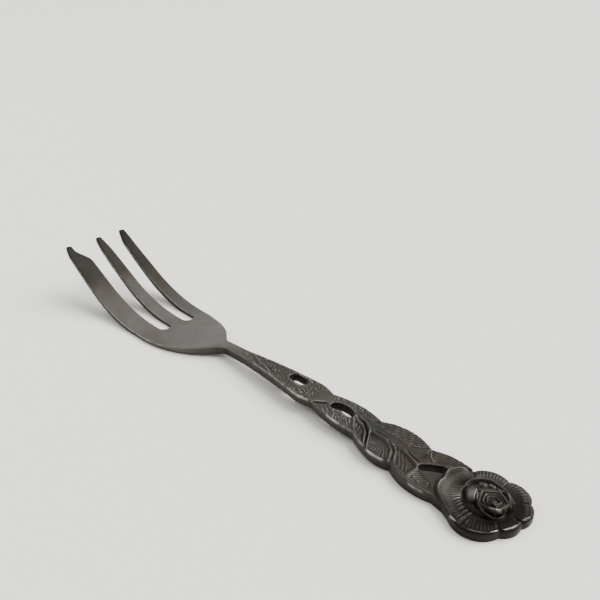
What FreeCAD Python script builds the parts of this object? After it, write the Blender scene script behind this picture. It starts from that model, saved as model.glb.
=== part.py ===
import FreeCAD, Part
import math
import os

import Sketcher
from FreeCAD import Vector

# Cake fork, one piece of cast and carved silver alloy.
# X runs from the rose towards the tines, +Y is the cutting tine's side and Z is up.
# While it is built, the origin is on the table under the rose's middle.
# At the end the fork moves so that the origin is under the middle of its outline.

# Driving sizes in millimetres and degrees: alias, value, what it is
SIZES = (
    ("fork_length", 144.4, "rose's outer edge to the longest tine's tip"),
    ("rose_radius", 8.3, "rose rim, between its lobes' crests and notches"),
    ("rose_thickness", 2.15, "rose rim above the table"),
    # Side view
    ("root_x", 10.0, "where the handle's top starts to rise"),
    ("root_thickness", 2.0, "handle at the rose"),
    ("crest_x", 55.0, "peak of the handle's arch"),
    ("crest_height", 4.72, "peak of the arch above the table, before it is rounded"),
    ("crest_thickness", 2.15, "handle at the peak"),
    ("crest_bend", 180.0, "radius of the arch at its peak"),
    ("fall_x", 76.0, "where the arch turns down to the bowl"),
    ("fall_height", 3.35, "top of the handle there"),
    ("fall_thickness", 2.35, "handle there"),
    ("fall_bend", 80.0, "radius of that turn"),
    ("bowl_x", 89.0, "where the bowl's flat floor starts"),
    ("bowl_bend", 40.0, "radius of the turn into the bowl"),
    ("bowl_thickness", 1.05, "bowl floor and tine roots"),
    ("heel_x", 82.5, "where the underside is back on the table"),
    ("foot_x", 15.0, "where the underside leaves the table"),
    ("bend_x", 98.0, "where the tines start to bend upwards"),
    ("bend_radius", 46.0, "underside of the tines' bend"),
    ("tine_rise", 28.0, "slope of the tines in degrees"),
    ("tip_thickness", 0.75, "tines at their tips"),
    # Head in plan
    ("neck_x", 67.0, "where the handle stops narrowing"),
    ("neck_width", 2.6, "handle at the neck"),
    ("shoulder_x", 96.0, "where the head reaches its full width"),
    ("guard_lead", 0.6, "the slim side's shoulder is this much nearer the rose"),
    ("shoulder_radius", 27.5, "round shoulders of the head"),
    ("shoulder_slope", 41.5, "steepest slope of the shoulders in degrees"),
    ("neck_radius", 3.5, "hollow where the neck meets the head"),
    ("cutting_edge", 11.5, "cutting tine's outer edge from the middle line"),
    ("guard_edge", 9.25, "slim outer tine's outer edge from the middle line"),
    ("tine_belly", 0.25, "outward bow of the two outer edges"),
    ("slot_spacing", 7.6, "between the middle lines of the two slots"),
    ("slot_start", 1.2, "slot roots, nearer the rose than where the head reaches its full width"),
    ("slot_root_width", 3.4, "slot at its round root"),
    ("slot_mouth_width", 4.6, "slot at its mouth"),
    ("tip_run", 6.6, "the outer tines narrow over this length"),
    ("mouth_run", 10.1, "inner sides of the tips start this far from the longest tip"),
    # Handle in plan
    ("crossing_x", 40.7, "where the two stems cross"),
    ("crossing_skew", 0.8, "the crossing's corners lie this far to either side of that"),
    ("crossing_width", 5.6, "handle at the crossing"),
    ("stem_width", 7.5, "handle beside its first hole, before its edge is rounded"),
    # Carving
    ("carve_depth", 0.4, "depth of the carved cells and grooves"),
    ("groove_width", 0.4, "grooves between the leaves"),
    ("rib_width", 0.32, "raised midrib and veins of a leaf"),
    ("rim_width", 0.36, "raised rim of a leaf"),
    ("crossing_step", 0.45, "how far the lower stem dips under the upper one"),
    ("crossing_run", 3.2, "length over which it dips"),
    # Rose
    ("lobe_rise", 0.35, "lobes outside the rose's radius"),
    ("notch_depth", 0.45, "notches inside the rose's radius"),
    ("rim_band", 0.75, "width of the rolled rim"),
    ("rim_drop", 0.25, "petals below the rolled rim"),
    ("dish_depth", 0.95, "petals at the foot of the dome, below the rim"),
    ("dome_radius", 4.7, "dome of closed petals"),
    ("dome_height", 3.4, "dome's top above the table"),
    ("furrow_width", 0.34, "radial furrows on the open petals"),
    ("furrow_depth", 0.2, "depth of those furrows"),
    ("heart_x", -2.0, "middle of the closed petals, off the dome's middle"),
    ("heart_y", 0.8, "middle of the closed petals, off the dome's middle"),
    ("heart_radius", 2.9, "outer closed petals, to their corners"),
    ("heart_height", 3.8, "rim of the closed petals above the table"),
    ("heart_curve", 8.0, "radius by which the closed petals fall away from the bud"),
    ("petal_wall", 0.42, "wall of a closed petal"),
    ("bud_radius", 0.7, "bud in the middle"),
)

# Scalloped edges of the handle, from the crossing to the rose: end of the scallop and its bulge
LEFT_SCALLOPS = ((28.8, 3.5, 0.65), (24.0, 5.35, 0.2), (18.0, 4.9, 0.6), (7.2, 6.15, 1.15), (2.5, 6.95, 0.0))
RIGHT_SCALLOPS = ((27.0, -3.65, 1.1), (14.7, -4.5, 1.8), (5.6, -5.5, 0.95))

# Holes through the handle: middles of the two round ends, bend and width
HOLES = (
    ((50.4, -0.9), (47.9, -0.95), 0.05, 2.5),
    ((36.9, -0.1), (33.1, -0.35), -0.55, 2.2),
    ((12.7, 1.1), (9.9, -1.1), -0.1, 1.8),
)

# Leaves: foot, tip, bend, half width on each side, pairs of veins
LEAVES = (
    ((31.0, 0.2), (24.4, 5.0), 0.45, 1.05, 1.15, 5),
    ((22.6, 0.4), (21.0, 5.3), 0.25, 2.5, 2.15, 5),
    ((18.2, -0.1), (14.6, 5.5), 0.5, 1.75, 1.6, 5),
    ((27.6, -1.2), (15.6, -3.5), -0.5, 2.3, 1.5, 8),
    ((15.0, -1.6), (7.0, -5.3), -0.35, 1.9, 0.95, 6),
    ((12.6, 3.4), (8.2, 5.0), 0.3, 1.15, 1.2, 4),
)

# Grooves between the leaves: start, end and bend
GROOVES = (
    ((31.2, -0.7), (24.1, 5.2), -0.9),
    ((21.6, 0.3), (18.1, 4.8), -0.75),
    ((31.0, -0.9), (14.4, 0.3), 0.25),
    ((16.2, -1.0), (14.8, -4.3), -0.3),
    ((14.0, 1.9), (13.2, 5.9), 0.45),
    ((10.0, -2.2), (6.3, -5.2), 0.1),
)

# Furrows in the stems' bark: start, end and bend
BARK = (
    ((67.5, 0.3), (62.0, 0.9), 0.1),
    ((66.0, -0.7), (60.5, -1.0), -0.1),
    ((60.5, 0.2), (54.5, 0.6), 0.15),
    ((58.5, -1.2), (53.0, -1.7), 0.0),
    ((58.0, 1.4), (51.5, 1.9), 0.1),
    ((50.0, 1.6), (44.0, 1.2), 0.2),
    ((49.5, 2.5), (44.5, 2.3), 0.1),
    ((37.0, 2.0), (31.5, 2.3), 0.15),
    ((37.5, -2.6), (30.5, -2.9), -0.2),
)

# Tips: corners by distance back from the longest tip, distance in from the tine's outer edge
# or from the middle line, and radius
CUTTING_TIP = ((3.8, 0.1, 8.0), (0.8, 0.9, 0.7), (1.1, 2.6, 0.5), (3.1, 2.65, 1.6), (6.8, 5.5, 3.0))
MIDDLE_TIP = ((4.6, 1.45, 9.0), (0.5, 0.85, 0.6))
GUARD_TIP = ((3.9, 3.05, 9.0), (0.0, 1.95, 0.6), (0.0, 0.1, 0.6), (3.1, -0.05, 9.0))

# Rose: bearings in degrees of the notches between its lobes, step between furrows, corners of a closed ring
NOTCHES = (-96.0, -44.0, 74.0, 143.0, 179.0, 215.0)
FURROW_STEP = 6.0
PETAL_CORNERS = 5


def make_sheet(doc):
    """The spreadsheet of driving sizes, one named cell a row."""
    sheet = doc.addObject("Spreadsheet::Sheet", "sizes")
    for row, (alias, value, meaning) in enumerate(SIZES, start=1):
        sheet.set(f"A{row}", alias)
        sheet.set(f"B{row}", str(value))
        sheet.set(f"C{row}", meaning)
        sheet.setAlias(f"B{row}", alias)
    doc.recompute()
    return sheet


doc = FreeCAD.newDocument("cake_fork")
sheet = make_sheet(doc)


def size(alias):
    """A driving size's value."""
    return float(sheet.get(alias))


TIP_X = size("fork_length") - size("rose_radius")
MARGIN = 4.0
START_X = -size("rose_radius") - MARGIN
# Blanks are cut out of material that is well taller and wider than the fork
TALL = "sizes.fork_length / 4"
WIDE = "sizes.fork_length / 2"
BLANK_HEIGHT = size("fork_length") / 4


def add_shape(name, shape):
    """A document object that holds a shape worked out in code."""
    feature = doc.addObject("Part::Feature", name)
    feature.Shape = shape
    return feature


def extrude(name, base, direction, forward, symmetric=False):
    """A solid swept straight from a closed outline; forward is a number or a rule for the length."""
    feature = doc.addObject("Part::Extrusion", name)
    feature.Base = base
    feature.DirMode = "Custom"
    feature.Dir = direction
    feature.Solid = True
    feature.Symmetric = symmetric
    feature.setExpression("LengthFwd", str(forward))
    return feature


def combine(name, kind, shapes):
    """A boolean of several document objects."""
    feature = doc.addObject(kind, name)
    if kind == "Part::Cut":
        feature.Base, feature.Tool = shapes
    elif kind == "Part::Common":
        feature.Base, feature.Tool = shapes
    else:
        feature.Shapes = shapes
    return feature


def line(start, end):
    return Part.LineSegment(start, end).toShape()


def rounded_path(corners):
    """Straight edges through the corners, each corner but the two ends rounded to its radius."""
    edges = []
    here = corners[0][0]
    for (before, _), (corner, radius), (after, _) in zip(corners, corners[1:], corners[2:]):
        back = (before - corner).normalize()
        ahead = (after - corner).normalize()
        half_angle = back.getAngle(ahead) / 2
        reach = radius / math.tan(half_angle)
        centre = corner + (back + ahead).normalize() * (radius / math.sin(half_angle))
        middle = centre + (corner - centre).normalize() * radius
        edges += [line(here, corner + back * reach)]
        edges += [Part.Arc(corner + back * reach, middle, corner + ahead * reach).toShape()]
        here = corner + ahead * reach
    return edges + [line(here, corners[-1][0])]


def bulged(start, end, bulge):
    """An arc from start to end that stands out to its right by bulge, or to its left if negative."""
    along = end - start
    side = Vector(along.y, -along.x, 0).normalize()
    return bowed(start, (start + end) * 0.5 + side * bulge, end)


def bowed(start, middle, end):
    """An arc through three points, or a line if they lie on one."""
    if (start + end).multiply(0.5).distanceToPoint(middle) < 1e-6:
        return line(start, end)
    return Part.Arc(start, middle, end).toShape()


def bent_slot(start, end, bend, width):
    """A closed outline of constant width about an arc, with round ends."""
    start, end = Vector(*start, 0), Vector(*end, 0)
    along = (end - start).normalize()
    side = Vector(along.y, -along.x, 0)
    half = width / 2
    middle = (start + end) * 0.5 + side * bend
    chord = (end - start).Length
    swing = 2 * math.atan2(2 * bend, chord)
    turn_start = FreeCAD.Rotation(Vector(0, 0, 1), math.degrees(-swing))
    turn_end = FreeCAD.Rotation(Vector(0, 0, 1), math.degrees(swing))
    out_start = turn_start.multVec(side)
    out_end = turn_end.multVec(side)
    cap_start = turn_start.multVec(along)
    cap_end = turn_end.multVec(along)
    return Part.Wire([
        bowed(start + out_start * half, middle + side * half, end + out_end * half),
        Part.Arc(end + out_end * half, end + cap_end * half, end - out_end * half).toShape(),
        bowed(end - out_end * half, middle - side * half, start - out_start * half),
        Part.Arc(start - out_start * half, start - cap_start * half, start + out_start * half).toShape(),
    ])


# Side view

# The underside's arch peaks and turns down a little nearer the rose than the top's, on a tighter bend
CREST_LEAD = 4.0
FALL_LEAD = 1.0
UNDER_SHARE = 0.8


def upsweep(depth, end_depth):
    """The bend and the straight rise of the tines, for a surface this far above the underside."""
    rise = math.radians(size("tine_rise"))
    along = Vector(math.cos(rise), 0, math.sin(rise))
    normal = Vector(-math.sin(rise), 0, math.cos(rise))
    centre = Vector(size("bend_x"), 0, size("bend_radius"))
    radius = size("bend_radius") - depth
    half = Vector(math.sin(rise / 2), 0, -math.cos(rise / 2))
    foot = centre - Vector(0, 0, radius)
    bend_end = centre - normal * radius
    run = (TIP_X + MARGIN - size("bend_x")) / math.cos(rise)
    tip = centre - normal * size("bend_radius") + along * run + normal * end_depth
    return [Part.Arc(foot, centre + half * radius, bend_end).toShape(), line(bend_end, tip)]


def top_edges(lift):
    """Upper surface in side view, from the rose to beyond the tips, raised by lift."""
    corners = (
        (Vector(START_X, 0, size("root_thickness")), 0),
        (Vector(size("root_x"), 0, size("root_thickness")), size("fall_bend")),
        (Vector(size("crest_x"), 0, size("crest_height")), size("crest_bend")),
        (Vector(size("fall_x"), 0, size("fall_height")), size("fall_bend")),
        (Vector(size("bowl_x"), 0, size("bowl_thickness")), size("bowl_bend")),
        (Vector(size("bend_x"), 0, size("bowl_thickness")), 0),
    )
    edges = rounded_path(corners) + upsweep(size("bowl_thickness"), size("tip_thickness"))
    return [edge.translated(Vector(0, 0, lift)) for edge in edges]


def underside_edges():
    """Lower surface in side view: two flats on the table with an arch between, and the rise."""
    crest_z = size("crest_height") - size("crest_thickness")
    fall_z = size("fall_height") - size("fall_thickness")
    corners = (
        (Vector(START_X, 0, 0), 0),
        (Vector(size("foot_x"), 0, 0), size("fall_bend")),
        (Vector(size("crest_x") - CREST_LEAD, 0, crest_z), size("crest_bend") * UNDER_SHARE),
        (Vector(size("fall_x") - FALL_LEAD, 0, fall_z), size("bowl_bend")),
        (Vector(size("heel_x"), 0, 0), size("bowl_bend")),
        (Vector(size("bend_x"), 0, 0), 0),
    )
    return rounded_path(corners) + upsweep(0, 0)


def ends(edges):
    """First and last point of a chain of edges that runs along +X."""
    xs = [vertex.Point for edge in edges for vertex in edge.Vertexes]
    return min(xs, key=lambda p: p.x), max(xs, key=lambda p: p.x)


def side_band():
    """The fork's side view, as a band right across it."""
    top, under = top_edges(0), underside_edges()
    (top_a, top_b), (under_a, under_b) = ends(top), ends(under)
    wire = Part.Wire(Part.__sortEdges__(top + under + [line(top_a, under_a), line(top_b, under_b)]))
    outline = add_shape("side_outline", wire)
    return extrude("side_band", outline, Vector(0, 1, 0), WIDE, symmetric=True)


def above_band(name, depth):
    """All that lies over the handle's top surface and down to this depth in it."""
    top = top_edges(-depth)
    low_a, low_b = ends(top)
    high_a = Vector(low_a.x, 0, BLANK_HEIGHT)
    high_b = Vector(low_b.x, 0, BLANK_HEIGHT)
    sides = [line(low_a, high_a), line(high_a, high_b), line(high_b, low_b)]
    wire = Part.Wire(Part.__sortEdges__(top + sides))
    outline = add_shape(name + "_outline", wire)
    return extrude(name, outline, Vector(0, 1, 0), WIDE, symmetric=True)


# Plan view

# The stem widens over this run from the crossing; bends of its edge there and at the neck
STEM_RUN = 3.6
STEM_BEND = 8.0
NECK_BEND = 50.0
# How far the outline of the tips starts inside the slots
SLOT_OVERLAP = 0.35


def long_edge(side, outer, lead):
    """One edge of the stem and head, from the stems' crossing to where the tine's tip starts."""
    neck = size("neck_width") / 2
    slope = math.radians(size("shoulder_slope"))
    full_x = size("shoulder_x") - lead
    corner_x = full_x - size("shoulder_radius") * math.tan(slope / 2)
    neck_end_x = corner_x - (outer - neck) / math.tan(slope)
    crossing_x = size("crossing_x") + side * size("crossing_skew")
    corners = (
        (Vector(crossing_x, side * size("crossing_width") / 2, 0), 0),
        (Vector(crossing_x + STEM_RUN, side * size("stem_width") / 2, 0), STEM_BEND),
        (Vector(size("neck_x"), side * neck, 0), NECK_BEND),
        (Vector(neck_end_x, side * neck, 0), size("neck_radius")),
        (Vector(corner_x, side * outer, 0), size("shoulder_radius")),
        (Vector(full_x + 1, side * outer, 0), 0),
    )
    start = corners[-1][0]
    end = Vector(TIP_X - size("tip_run"), side * outer, 0)
    return rounded_path(corners) + [bulged(start, end, side * -size("tine_belly"))], corners[0][0], end


def slot_root_x():
    """Middle of the slots' round roots."""
    return size("shoulder_x") - size("slot_start") + size("slot_root_width") / 2


def front_edges(left_start, right_start):
    """The tines' tips from left to right; between them the outline runs inside the slots."""
    slot_y = size("slot_spacing") / 2
    root, mouth = size("slot_root_width") / 2, size("slot_mouth_width") / 2
    mouth_x = TIP_X - size("mouth_run")
    widened = (mouth_x - slot_root_x()) / (TIP_X + MARGIN - slot_root_x())
    half_slot = root + (mouth - root) * widened
    # The outline leaves each tip a little way inside the slot
    inside = half_slot - SLOT_OVERLAP

    def corners(tip, edge_y, side):
        return [(Vector(TIP_X - back, edge_y + side * inward, 0), radius) for back, inward, radius in tip]

    cutting = corners(CUTTING_TIP, left_start.y, -1)
    guard = corners(GUARD_TIP, right_start.y, 1)
    middle = corners(MIDDLE_TIP, 0, 1)
    middle += [(Vector(point.x, -point.y, 0), radius) for point, radius in middle[::-1]]
    p1 = Vector(mouth_x, slot_y + inside, 0)
    p2 = Vector(mouth_x, slot_y - inside, 0)
    p3 = Vector(mouth_x, -slot_y + inside, 0)
    p4 = Vector(mouth_x, -slot_y - inside, 0)
    edges = rounded_path([(left_start, 0)] + cutting + [(p1, 0)])
    edges += [line(p1, p2)] + rounded_path([(p2, 0)] + middle + [(p3, 0)])
    edges += [line(p3, p4)] + rounded_path([(p4, 0)] + guard + [(right_start, 0)])
    return edges


def scallop_edges(start, scallops, side):
    """The handle's scalloped edge from the crossing to inside the rose."""
    edges = []
    for x, y, bulge in scallops:
        end = Vector(x, y, 0)
        edges.append(bulged(start, end, -side * bulge))
        start = end
    return edges, start


def plan_prism():
    """The whole outline of handle and head, as a tall prism."""
    left, left_start, left_tip = long_edge(1, size("cutting_edge"), 0)
    right, right_start, right_tip = long_edge(-1, size("guard_edge"), size("guard_lead"))
    left_scallops, left_end = scallop_edges(left_start, LEFT_SCALLOPS, -1)
    right_scallops, right_end = scallop_edges(right_start, RIGHT_SCALLOPS, 1)
    inside_left, inside_right = Vector(3, 3, 0), Vector(3, -3, 0)
    edges = left + front_edges(left_tip, right_tip) + right
    edges += left_scallops + right_scallops
    edges += [line(left_end, inside_left), line(inside_left, inside_right), line(inside_right, right_end)]
    outline = add_shape("plan_outline", Part.Wire(Part.__sortEdges__(edges)))
    return extrude("plan_prism", outline, Vector(0, 0, 1), TALL)


def slot_cutters():
    """The two slots between the tines: a tapered slot with a round root, and its mirror image."""
    sketch = doc.addObject("Sketcher::SketchObject", "slot_sketch")
    root_x = slot_root_x()
    end_x = TIP_X + MARGIN
    y = size("slot_spacing") / 2
    root, mouth = size("slot_root_width") / 2, size("slot_mouth_width") / 2
    upper = sketch.addGeometry(Part.LineSegment(Vector(root_x, y + root, 0), Vector(end_x, y + mouth, 0)))
    lower = sketch.addGeometry(Part.LineSegment(Vector(root_x, y - root, 0), Vector(end_x, y - mouth, 0)))
    closing = sketch.addGeometry(Part.LineSegment(Vector(end_x, y + mouth, 0), Vector(end_x, y - mouth, 0)))
    circle = Part.Circle(Vector(root_x, y, 0), Vector(0, 0, 1), root)
    bow = sketch.addGeometry(Part.ArcOfCircle(circle, math.pi / 2, 3 * math.pi / 2))
    join = Sketcher.Constraint
    sketch.addConstraint([
        join("Coincident", upper, 2, closing, 1),
        join("Coincident", lower, 2, closing, 2),
        join("Coincident", upper, 1, bow, 1),
        join("Coincident", lower, 1, bow, 2),
        join("Vertical", closing),
        join("Vertical", bow, 1, bow, 2),
        join("Vertical", bow, 1, bow, 3),
    ])
    bound = (
        ("root_x", join("DistanceX", -1, 1, bow, 3, root_x),
         "sizes.shoulder_x - sizes.slot_start + sizes.slot_root_width / 2"),
        ("root_y", join("DistanceY", -1, 1, bow, 3, y), "sizes.slot_spacing / 2"),
        ("root_radius", join("Radius", bow, root), "sizes.slot_root_width / 2"),
        ("end_x", join("DistanceX", -1, 1, closing, 1, end_x),
         f"sizes.fork_length - sizes.rose_radius + {MARGIN}"),
        ("mouth_top", join("DistanceY", -1, 1, closing, 1, y + mouth),
         "sizes.slot_spacing / 2 + sizes.slot_mouth_width / 2"),
        ("mouth_width", join("DistanceY", closing, 2, closing, 1, 2 * mouth), "sizes.slot_mouth_width"),
    )
    for name, constraint, expression in bound:
        index = sketch.addConstraint(constraint)
        sketch.renameConstraint(index, name)
        sketch.setExpression(f"Constraints.{name}", expression)
    left = extrude("left_slot", sketch, Vector(0, 0, 1), TALL)
    right = doc.addObject("Part::Mirroring", "right_slot")
    right.Source = left
    right.Base = Vector(0, 0, 0)
    right.Normal = Vector(0, 1, 0)
    return [left, right]


def hole_cutters():
    """The three holes that pierce the handle."""
    cutters = []
    for number, (start, end, bend, width) in enumerate(HOLES, start=1):
        outline = add_shape(f"hole_outline_{number}", bent_slot(start, end, bend, width))
        cutters.append(extrude(f"hole_{number}", outline, Vector(0, 0, 1), TALL))
    return cutters


# Leaves and bark

# Widest place of a leaf along its spine, slant of its cells, and how much of the slant their outer ends take
LEAF_SKEW = 0.85
CELL_LEAN = 0.8
CELL_END = 0.35
# Start and end of the crossing's edge, from its middle, and how far its ends lie below the arch's peak
CROSS_START = (0.9, 1.5)
CROSS_END = -2.6
CROSS_LOW = 0.45
CROSS_HIGH = 0.75


def leaf_cells(foot, tip, bend, left_width, right_width, pairs):
    """Sunk cells of one leaf: what is left between them is its rim, midrib and veins."""
    foot, tip = Vector(*foot, 0), Vector(*tip, 0)
    chord = tip - foot
    along = Vector(chord).normalize()
    side = Vector(-along.y, along.x, 0)
    rib = size("rib_width")
    rim = size("rim_width")

    def spine(share):
        return foot + chord * share + side * (4 * bend * share * (1 - share))

    def blade(share, width):
        return width * math.sin(math.pi * min(max(share, 0), 1) ** LEAF_SKEW)

    cells = []
    pitch = 1.0 / pairs
    gap = rib / chord.Length / 2
    for hand, width in ((1, left_width), (-1, right_width)):
        for index in range(pairs):
            low = index * pitch + gap
            high = (index + 1) * pitch - gap
            reach = blade((low + high) / 2, width) - rim
            if reach < rib:
                continue
            lead = along * (CELL_LEAN * CELL_END * reach)
            low_out = min(blade(low, width) - rim, reach)
            high_out = min(blade(high, width) - rim, reach)
            corners = [
                spine(low) + side * hand * rib / 2,
                spine(high) + side * hand * rib / 2,
                spine(high) + side * hand * max(high_out, rib) + lead,
                spine(low) + side * hand * max(low_out, rib) + lead,
            ]
            cells.append(Part.Face(Part.makePolygon(corners + corners[:1])))
    return cells


def carving():
    """All carved cells and grooves of the handle, down to the carving's depth."""
    faces = [face for leaf in LEAVES for face in leaf_cells(*leaf)]
    width = size("groove_width")
    faces += [Part.Face(bent_slot(*groove, width)) for groove in GROOVES]
    faces += [Part.Face(bent_slot(*furrow, width)) for furrow in BARK]
    prisms = [face.extrude(Vector(0, 0, BLANK_HEIGHT)) for face in faces]
    tools = add_shape("carving_prisms", prisms[0].multiFuse(prisms[1:]))
    return combine("carving", "Part::Common", [tools, above_band("carving_band", size("carve_depth"))])


def crossing_cut():
    """The lower stem's dip where it comes out from under the upper one."""
    start = Vector(size("crossing_x") + CROSS_START[0], size("crossing_width") / 2 + CROSS_START[1], 0)
    end = Vector(size("crossing_x") + CROSS_END, 0, 0)
    along = (end - start).normalize()
    away = Vector(-along.y, along.x, 0)
    if away.x > 0:
        away = away * -1
    top = size("crest_height")
    low = top - CROSS_LOW - size("crossing_step")
    run = size("crossing_run")
    high = top - CROSS_HIGH
    corners = [start + Vector(0, 0, low), start + away * run + Vector(0, 0, high),
               start + away * run + Vector(0, 0, BLANK_HEIGHT), start + Vector(0, 0, BLANK_HEIGHT)]
    outline = add_shape("crossing_outline", Part.makePolygon(corners + corners[:1]))
    return extrude("crossing_cut", outline, along, (end - start).Length)


# Rose

# Radius where the petals' slope starts under the dome; furrows keep this far from the dome and the rim
DISH_FOOT = 2.0
DOME_GAP = 0.6
RIM_GAP = 0.25
# Cutters start this far outside what they cut, and the dome this far above the table
CLEAR = 0.1
DOME_FOOT = 0.5
# Bow of a closed ring's sides, size of the inner ring, and their turns in degrees
RING_BOW = 0.93
INNER_SHARE = 0.64
OUTER_TURN = 20
INNER_TURN = 50


def polar(radius, bearing, z=0.0):
    angle = math.radians(bearing)
    return Vector(radius * math.cos(angle), radius * math.sin(angle), z)


def rose_disc():
    """The rose's lobed disc, one shallow lobe from each notch to the next."""
    notch = size("rose_radius") - size("notch_depth")
    crest = size("rose_radius") + size("lobe_rise")
    edges = []
    for start, end in zip(NOTCHES, NOTCHES[1:] + (NOTCHES[0] + 360,)):
        middle = polar(crest, (start + end) / 2)
        edges.append(Part.Arc(polar(notch, start), middle, polar(notch, end)).toShape())
    outline = add_shape("rose_outline", Part.Wire(edges))
    disc = extrude("rose_disc", outline, Vector(0, 0, 1), 1)
    disc.setExpression("LengthFwd", "sizes.rose_thickness")
    return disc


def rose_dish():
    """The hollow of the open petals, from the rolled rim down to the foot of the dome."""
    foot, rim = DISH_FOOT, size("rose_radius") - size("rim_band")
    low = size("rose_thickness") - size("dish_depth")
    high = size("rose_thickness") - size("rim_drop")
    corners = [Vector(foot, 0, low), Vector(rim, 0, high)]
    corners += [Vector(rim, 0, BLANK_HEIGHT), Vector(foot, 0, BLANK_HEIGHT)]
    section = add_shape("dish_section", Part.Face(Part.makePolygon(corners + corners[:1])))
    dish = doc.addObject("Part::Revolution", "rose_dish")
    dish.Source = section
    dish.Axis = Vector(0, 0, 1)
    dish.Base = Vector(0, 0, 0)
    dish.Angle = 360
    return dish


def rose_furrows():
    """Radial furrows that run out over the open petals to their rim."""
    half, depth = size("furrow_width") / 2, size("furrow_depth")
    start = size("dome_radius") + DOME_GAP
    rim = size("rose_radius") - size("rim_band")
    drop = size("dish_depth") - size("rim_drop")
    slope = drop / (rim - DISH_FOOT)
    furrows = []
    for index in range(int(360 / FURROW_STEP)):
        bearing = index * FURROW_STEP
        z = size("rose_thickness") - size("dish_depth") + slope * (start - DISH_FOOT)
        radial = polar(1, bearing)
        side = Vector(-radial.y, radial.x, 0)
        foot = radial * start + Vector(0, 0, z)
        brim = foot + Vector(0, 0, CLEAR)
        corners = [foot + Vector(0, 0, -depth), brim + side * half, brim - side * half]
        reach = rim - RIM_GAP - start
        face = Part.Face(Part.makePolygon(corners + corners[:1]))
        furrows.append(face.extrude(radial * reach + Vector(0, 0, slope * reach)))
    return add_shape("rose_furrows", Part.makeCompound(furrows))


def rose_dome():
    """The low dome that carries the closed petals."""
    sphere = doc.addObject("Part::Sphere", "dome_sphere")
    cap = "(sizes.dome_height - sizes.rose_thickness + sizes.dish_depth)"
    radius = f"(sizes.dome_radius * sizes.dome_radius + {cap} * {cap}) / (2 * {cap})"
    sphere.setExpression("Radius", radius)
    sphere.setExpression("Placement.Base.z", f"sizes.dome_height - {radius}")
    core = doc.addObject("Part::Cylinder", "dome_core")
    core.setExpression("Radius", "sizes.dome_radius")
    core.setExpression("Height", "sizes.dome_height + 1")
    core.Placement.Base = Vector(0, 0, DOME_FOOT)
    return combine("rose_dome", "Part::Common", [sphere, core])


def petal_ring(name, radius, turn, height):
    """One ring of closed petals: a wall on a polygon with bowed sides."""
    heart = Vector(size("heart_x"), size("heart_y"), 0)

    def bowed_polygon(corner_radius):
        step = 360 / PETAL_CORNERS
        edges = []
        for index in range(PETAL_CORNERS):
            bearing = turn + index * step
            middle = polar(corner_radius * RING_BOW, bearing + step / 2)
            edges.append(Part.Arc(heart + polar(corner_radius, bearing), heart + middle,
                                  heart + polar(corner_radius, bearing + step)).toShape())
        return Part.Wire(edges)

    rings = [bowed_polygon(radius), bowed_polygon(radius - size("petal_wall"))]
    face = Part.makeFace(rings, "Part::FaceMakerBullseye")
    outline = add_shape(name + "_outline", face.translated(Vector(0, 0, size("rose_thickness") / 2)))
    ring = extrude(name, outline, Vector(0, 0, 1), height - size("rose_thickness") / 2)
    return ring


def rose_heart():
    """Closed petals, one ring inside the other, and the bud between them."""
    rings = [petal_ring("outer_petals", size("heart_radius"), OUTER_TURN, size("heart_height")),
             petal_ring("inner_petals", size("heart_radius") * INNER_SHARE, INNER_TURN,
                        size("heart_height"))]
    ball = doc.addObject("Part::Sphere", "heart_ball")
    ball.setExpression("Radius", "sizes.heart_curve")
    ball.setExpression("Placement.Base.x", "sizes.heart_x")
    ball.setExpression("Placement.Base.y", "sizes.heart_y")
    ball.setExpression("Placement.Base.z", "sizes.heart_height - sizes.heart_curve")
    rings = [combine("round_" + ring.Name, "Part::Common", [ring, ball]) for ring in rings]
    bud = doc.addObject("Part::Sphere", "bud")
    bud.setExpression("Radius", "sizes.bud_radius")
    bud.setExpression("Placement.Base.x", "sizes.heart_x")
    bud.setExpression("Placement.Base.y", "sizes.heart_y")
    bud.setExpression("Placement.Base.z", "sizes.heart_height - sizes.bud_radius")
    return rings + [bud]


# The whole fork

blank = combine("blank", "Part::Common", [plan_prism(), side_band()])
with_disc = combine("blank_and_disc", "Part::MultiFuse", [blank, rose_disc()])
cutters = slot_cutters() + hole_cutters() + [carving(), crossing_cut(), rose_dish()]
for cutter in cutters:
    with_disc = combine("less_" + cutter.Name, "Part::Cut", [with_disc, cutter])
furrowed = combine("less_furrows", "Part::Cut", [with_disc, rose_furrows()])
fork = combine("cake_fork", "Part::MultiFuse", [furrowed, rose_dome()] + rose_heart())
fork.Label = "cake_fork"
doc.recompute()

box = fork.Shape.BoundBox
fork.Placement.Base = Vector(-box.Center.x, -box.Center.y, -box.ZMin)
doc.recompute()

for item in doc.Objects:
    if "Invalid" in item.State or "Error" in item.State:
        raise RuntimeError(f"{item.Name} failed: {item.State}")
    if hasattr(item, "Shape") and (item.Shape.isNull() or not item.Shape.isValid()):
        raise RuntimeError(f"{item.Name} has a bad shape")
if len(fork.Shape.Solids) != 1:
    raise RuntimeError(f"the fork is {len(fork.Shape.Solids)} solids, not one")

os.makedirs("parts", exist_ok=True)
fork.Shape.exportStep(f"parts/{fork.Label}.step")
box = fork.Shape.BoundBox
print("size", round(box.XLength, 2), round(box.YLength, 2), round(box.ZLength, 2))
print("volume", round(fork.Shape.Volume, 1))
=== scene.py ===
"""Cake fork with a rose handle, in dark tarnished silver, on a pale table.

Plan shapes are in millimetres: x = 0 under the rose's middle, +X to the tines, +Y the cutting tine's side,
z = 0 on the table. One dense mesh takes the CAD node's place. Its outline, side view and holes are the part's
own, and its upper side carries the carving that is too fine for a solid.
"""

import math

import bpy
import numpy as np
from mathutils import Matrix, Vector, kdtree
from mathutils.geometry import delaunay_2d_cdt


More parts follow.
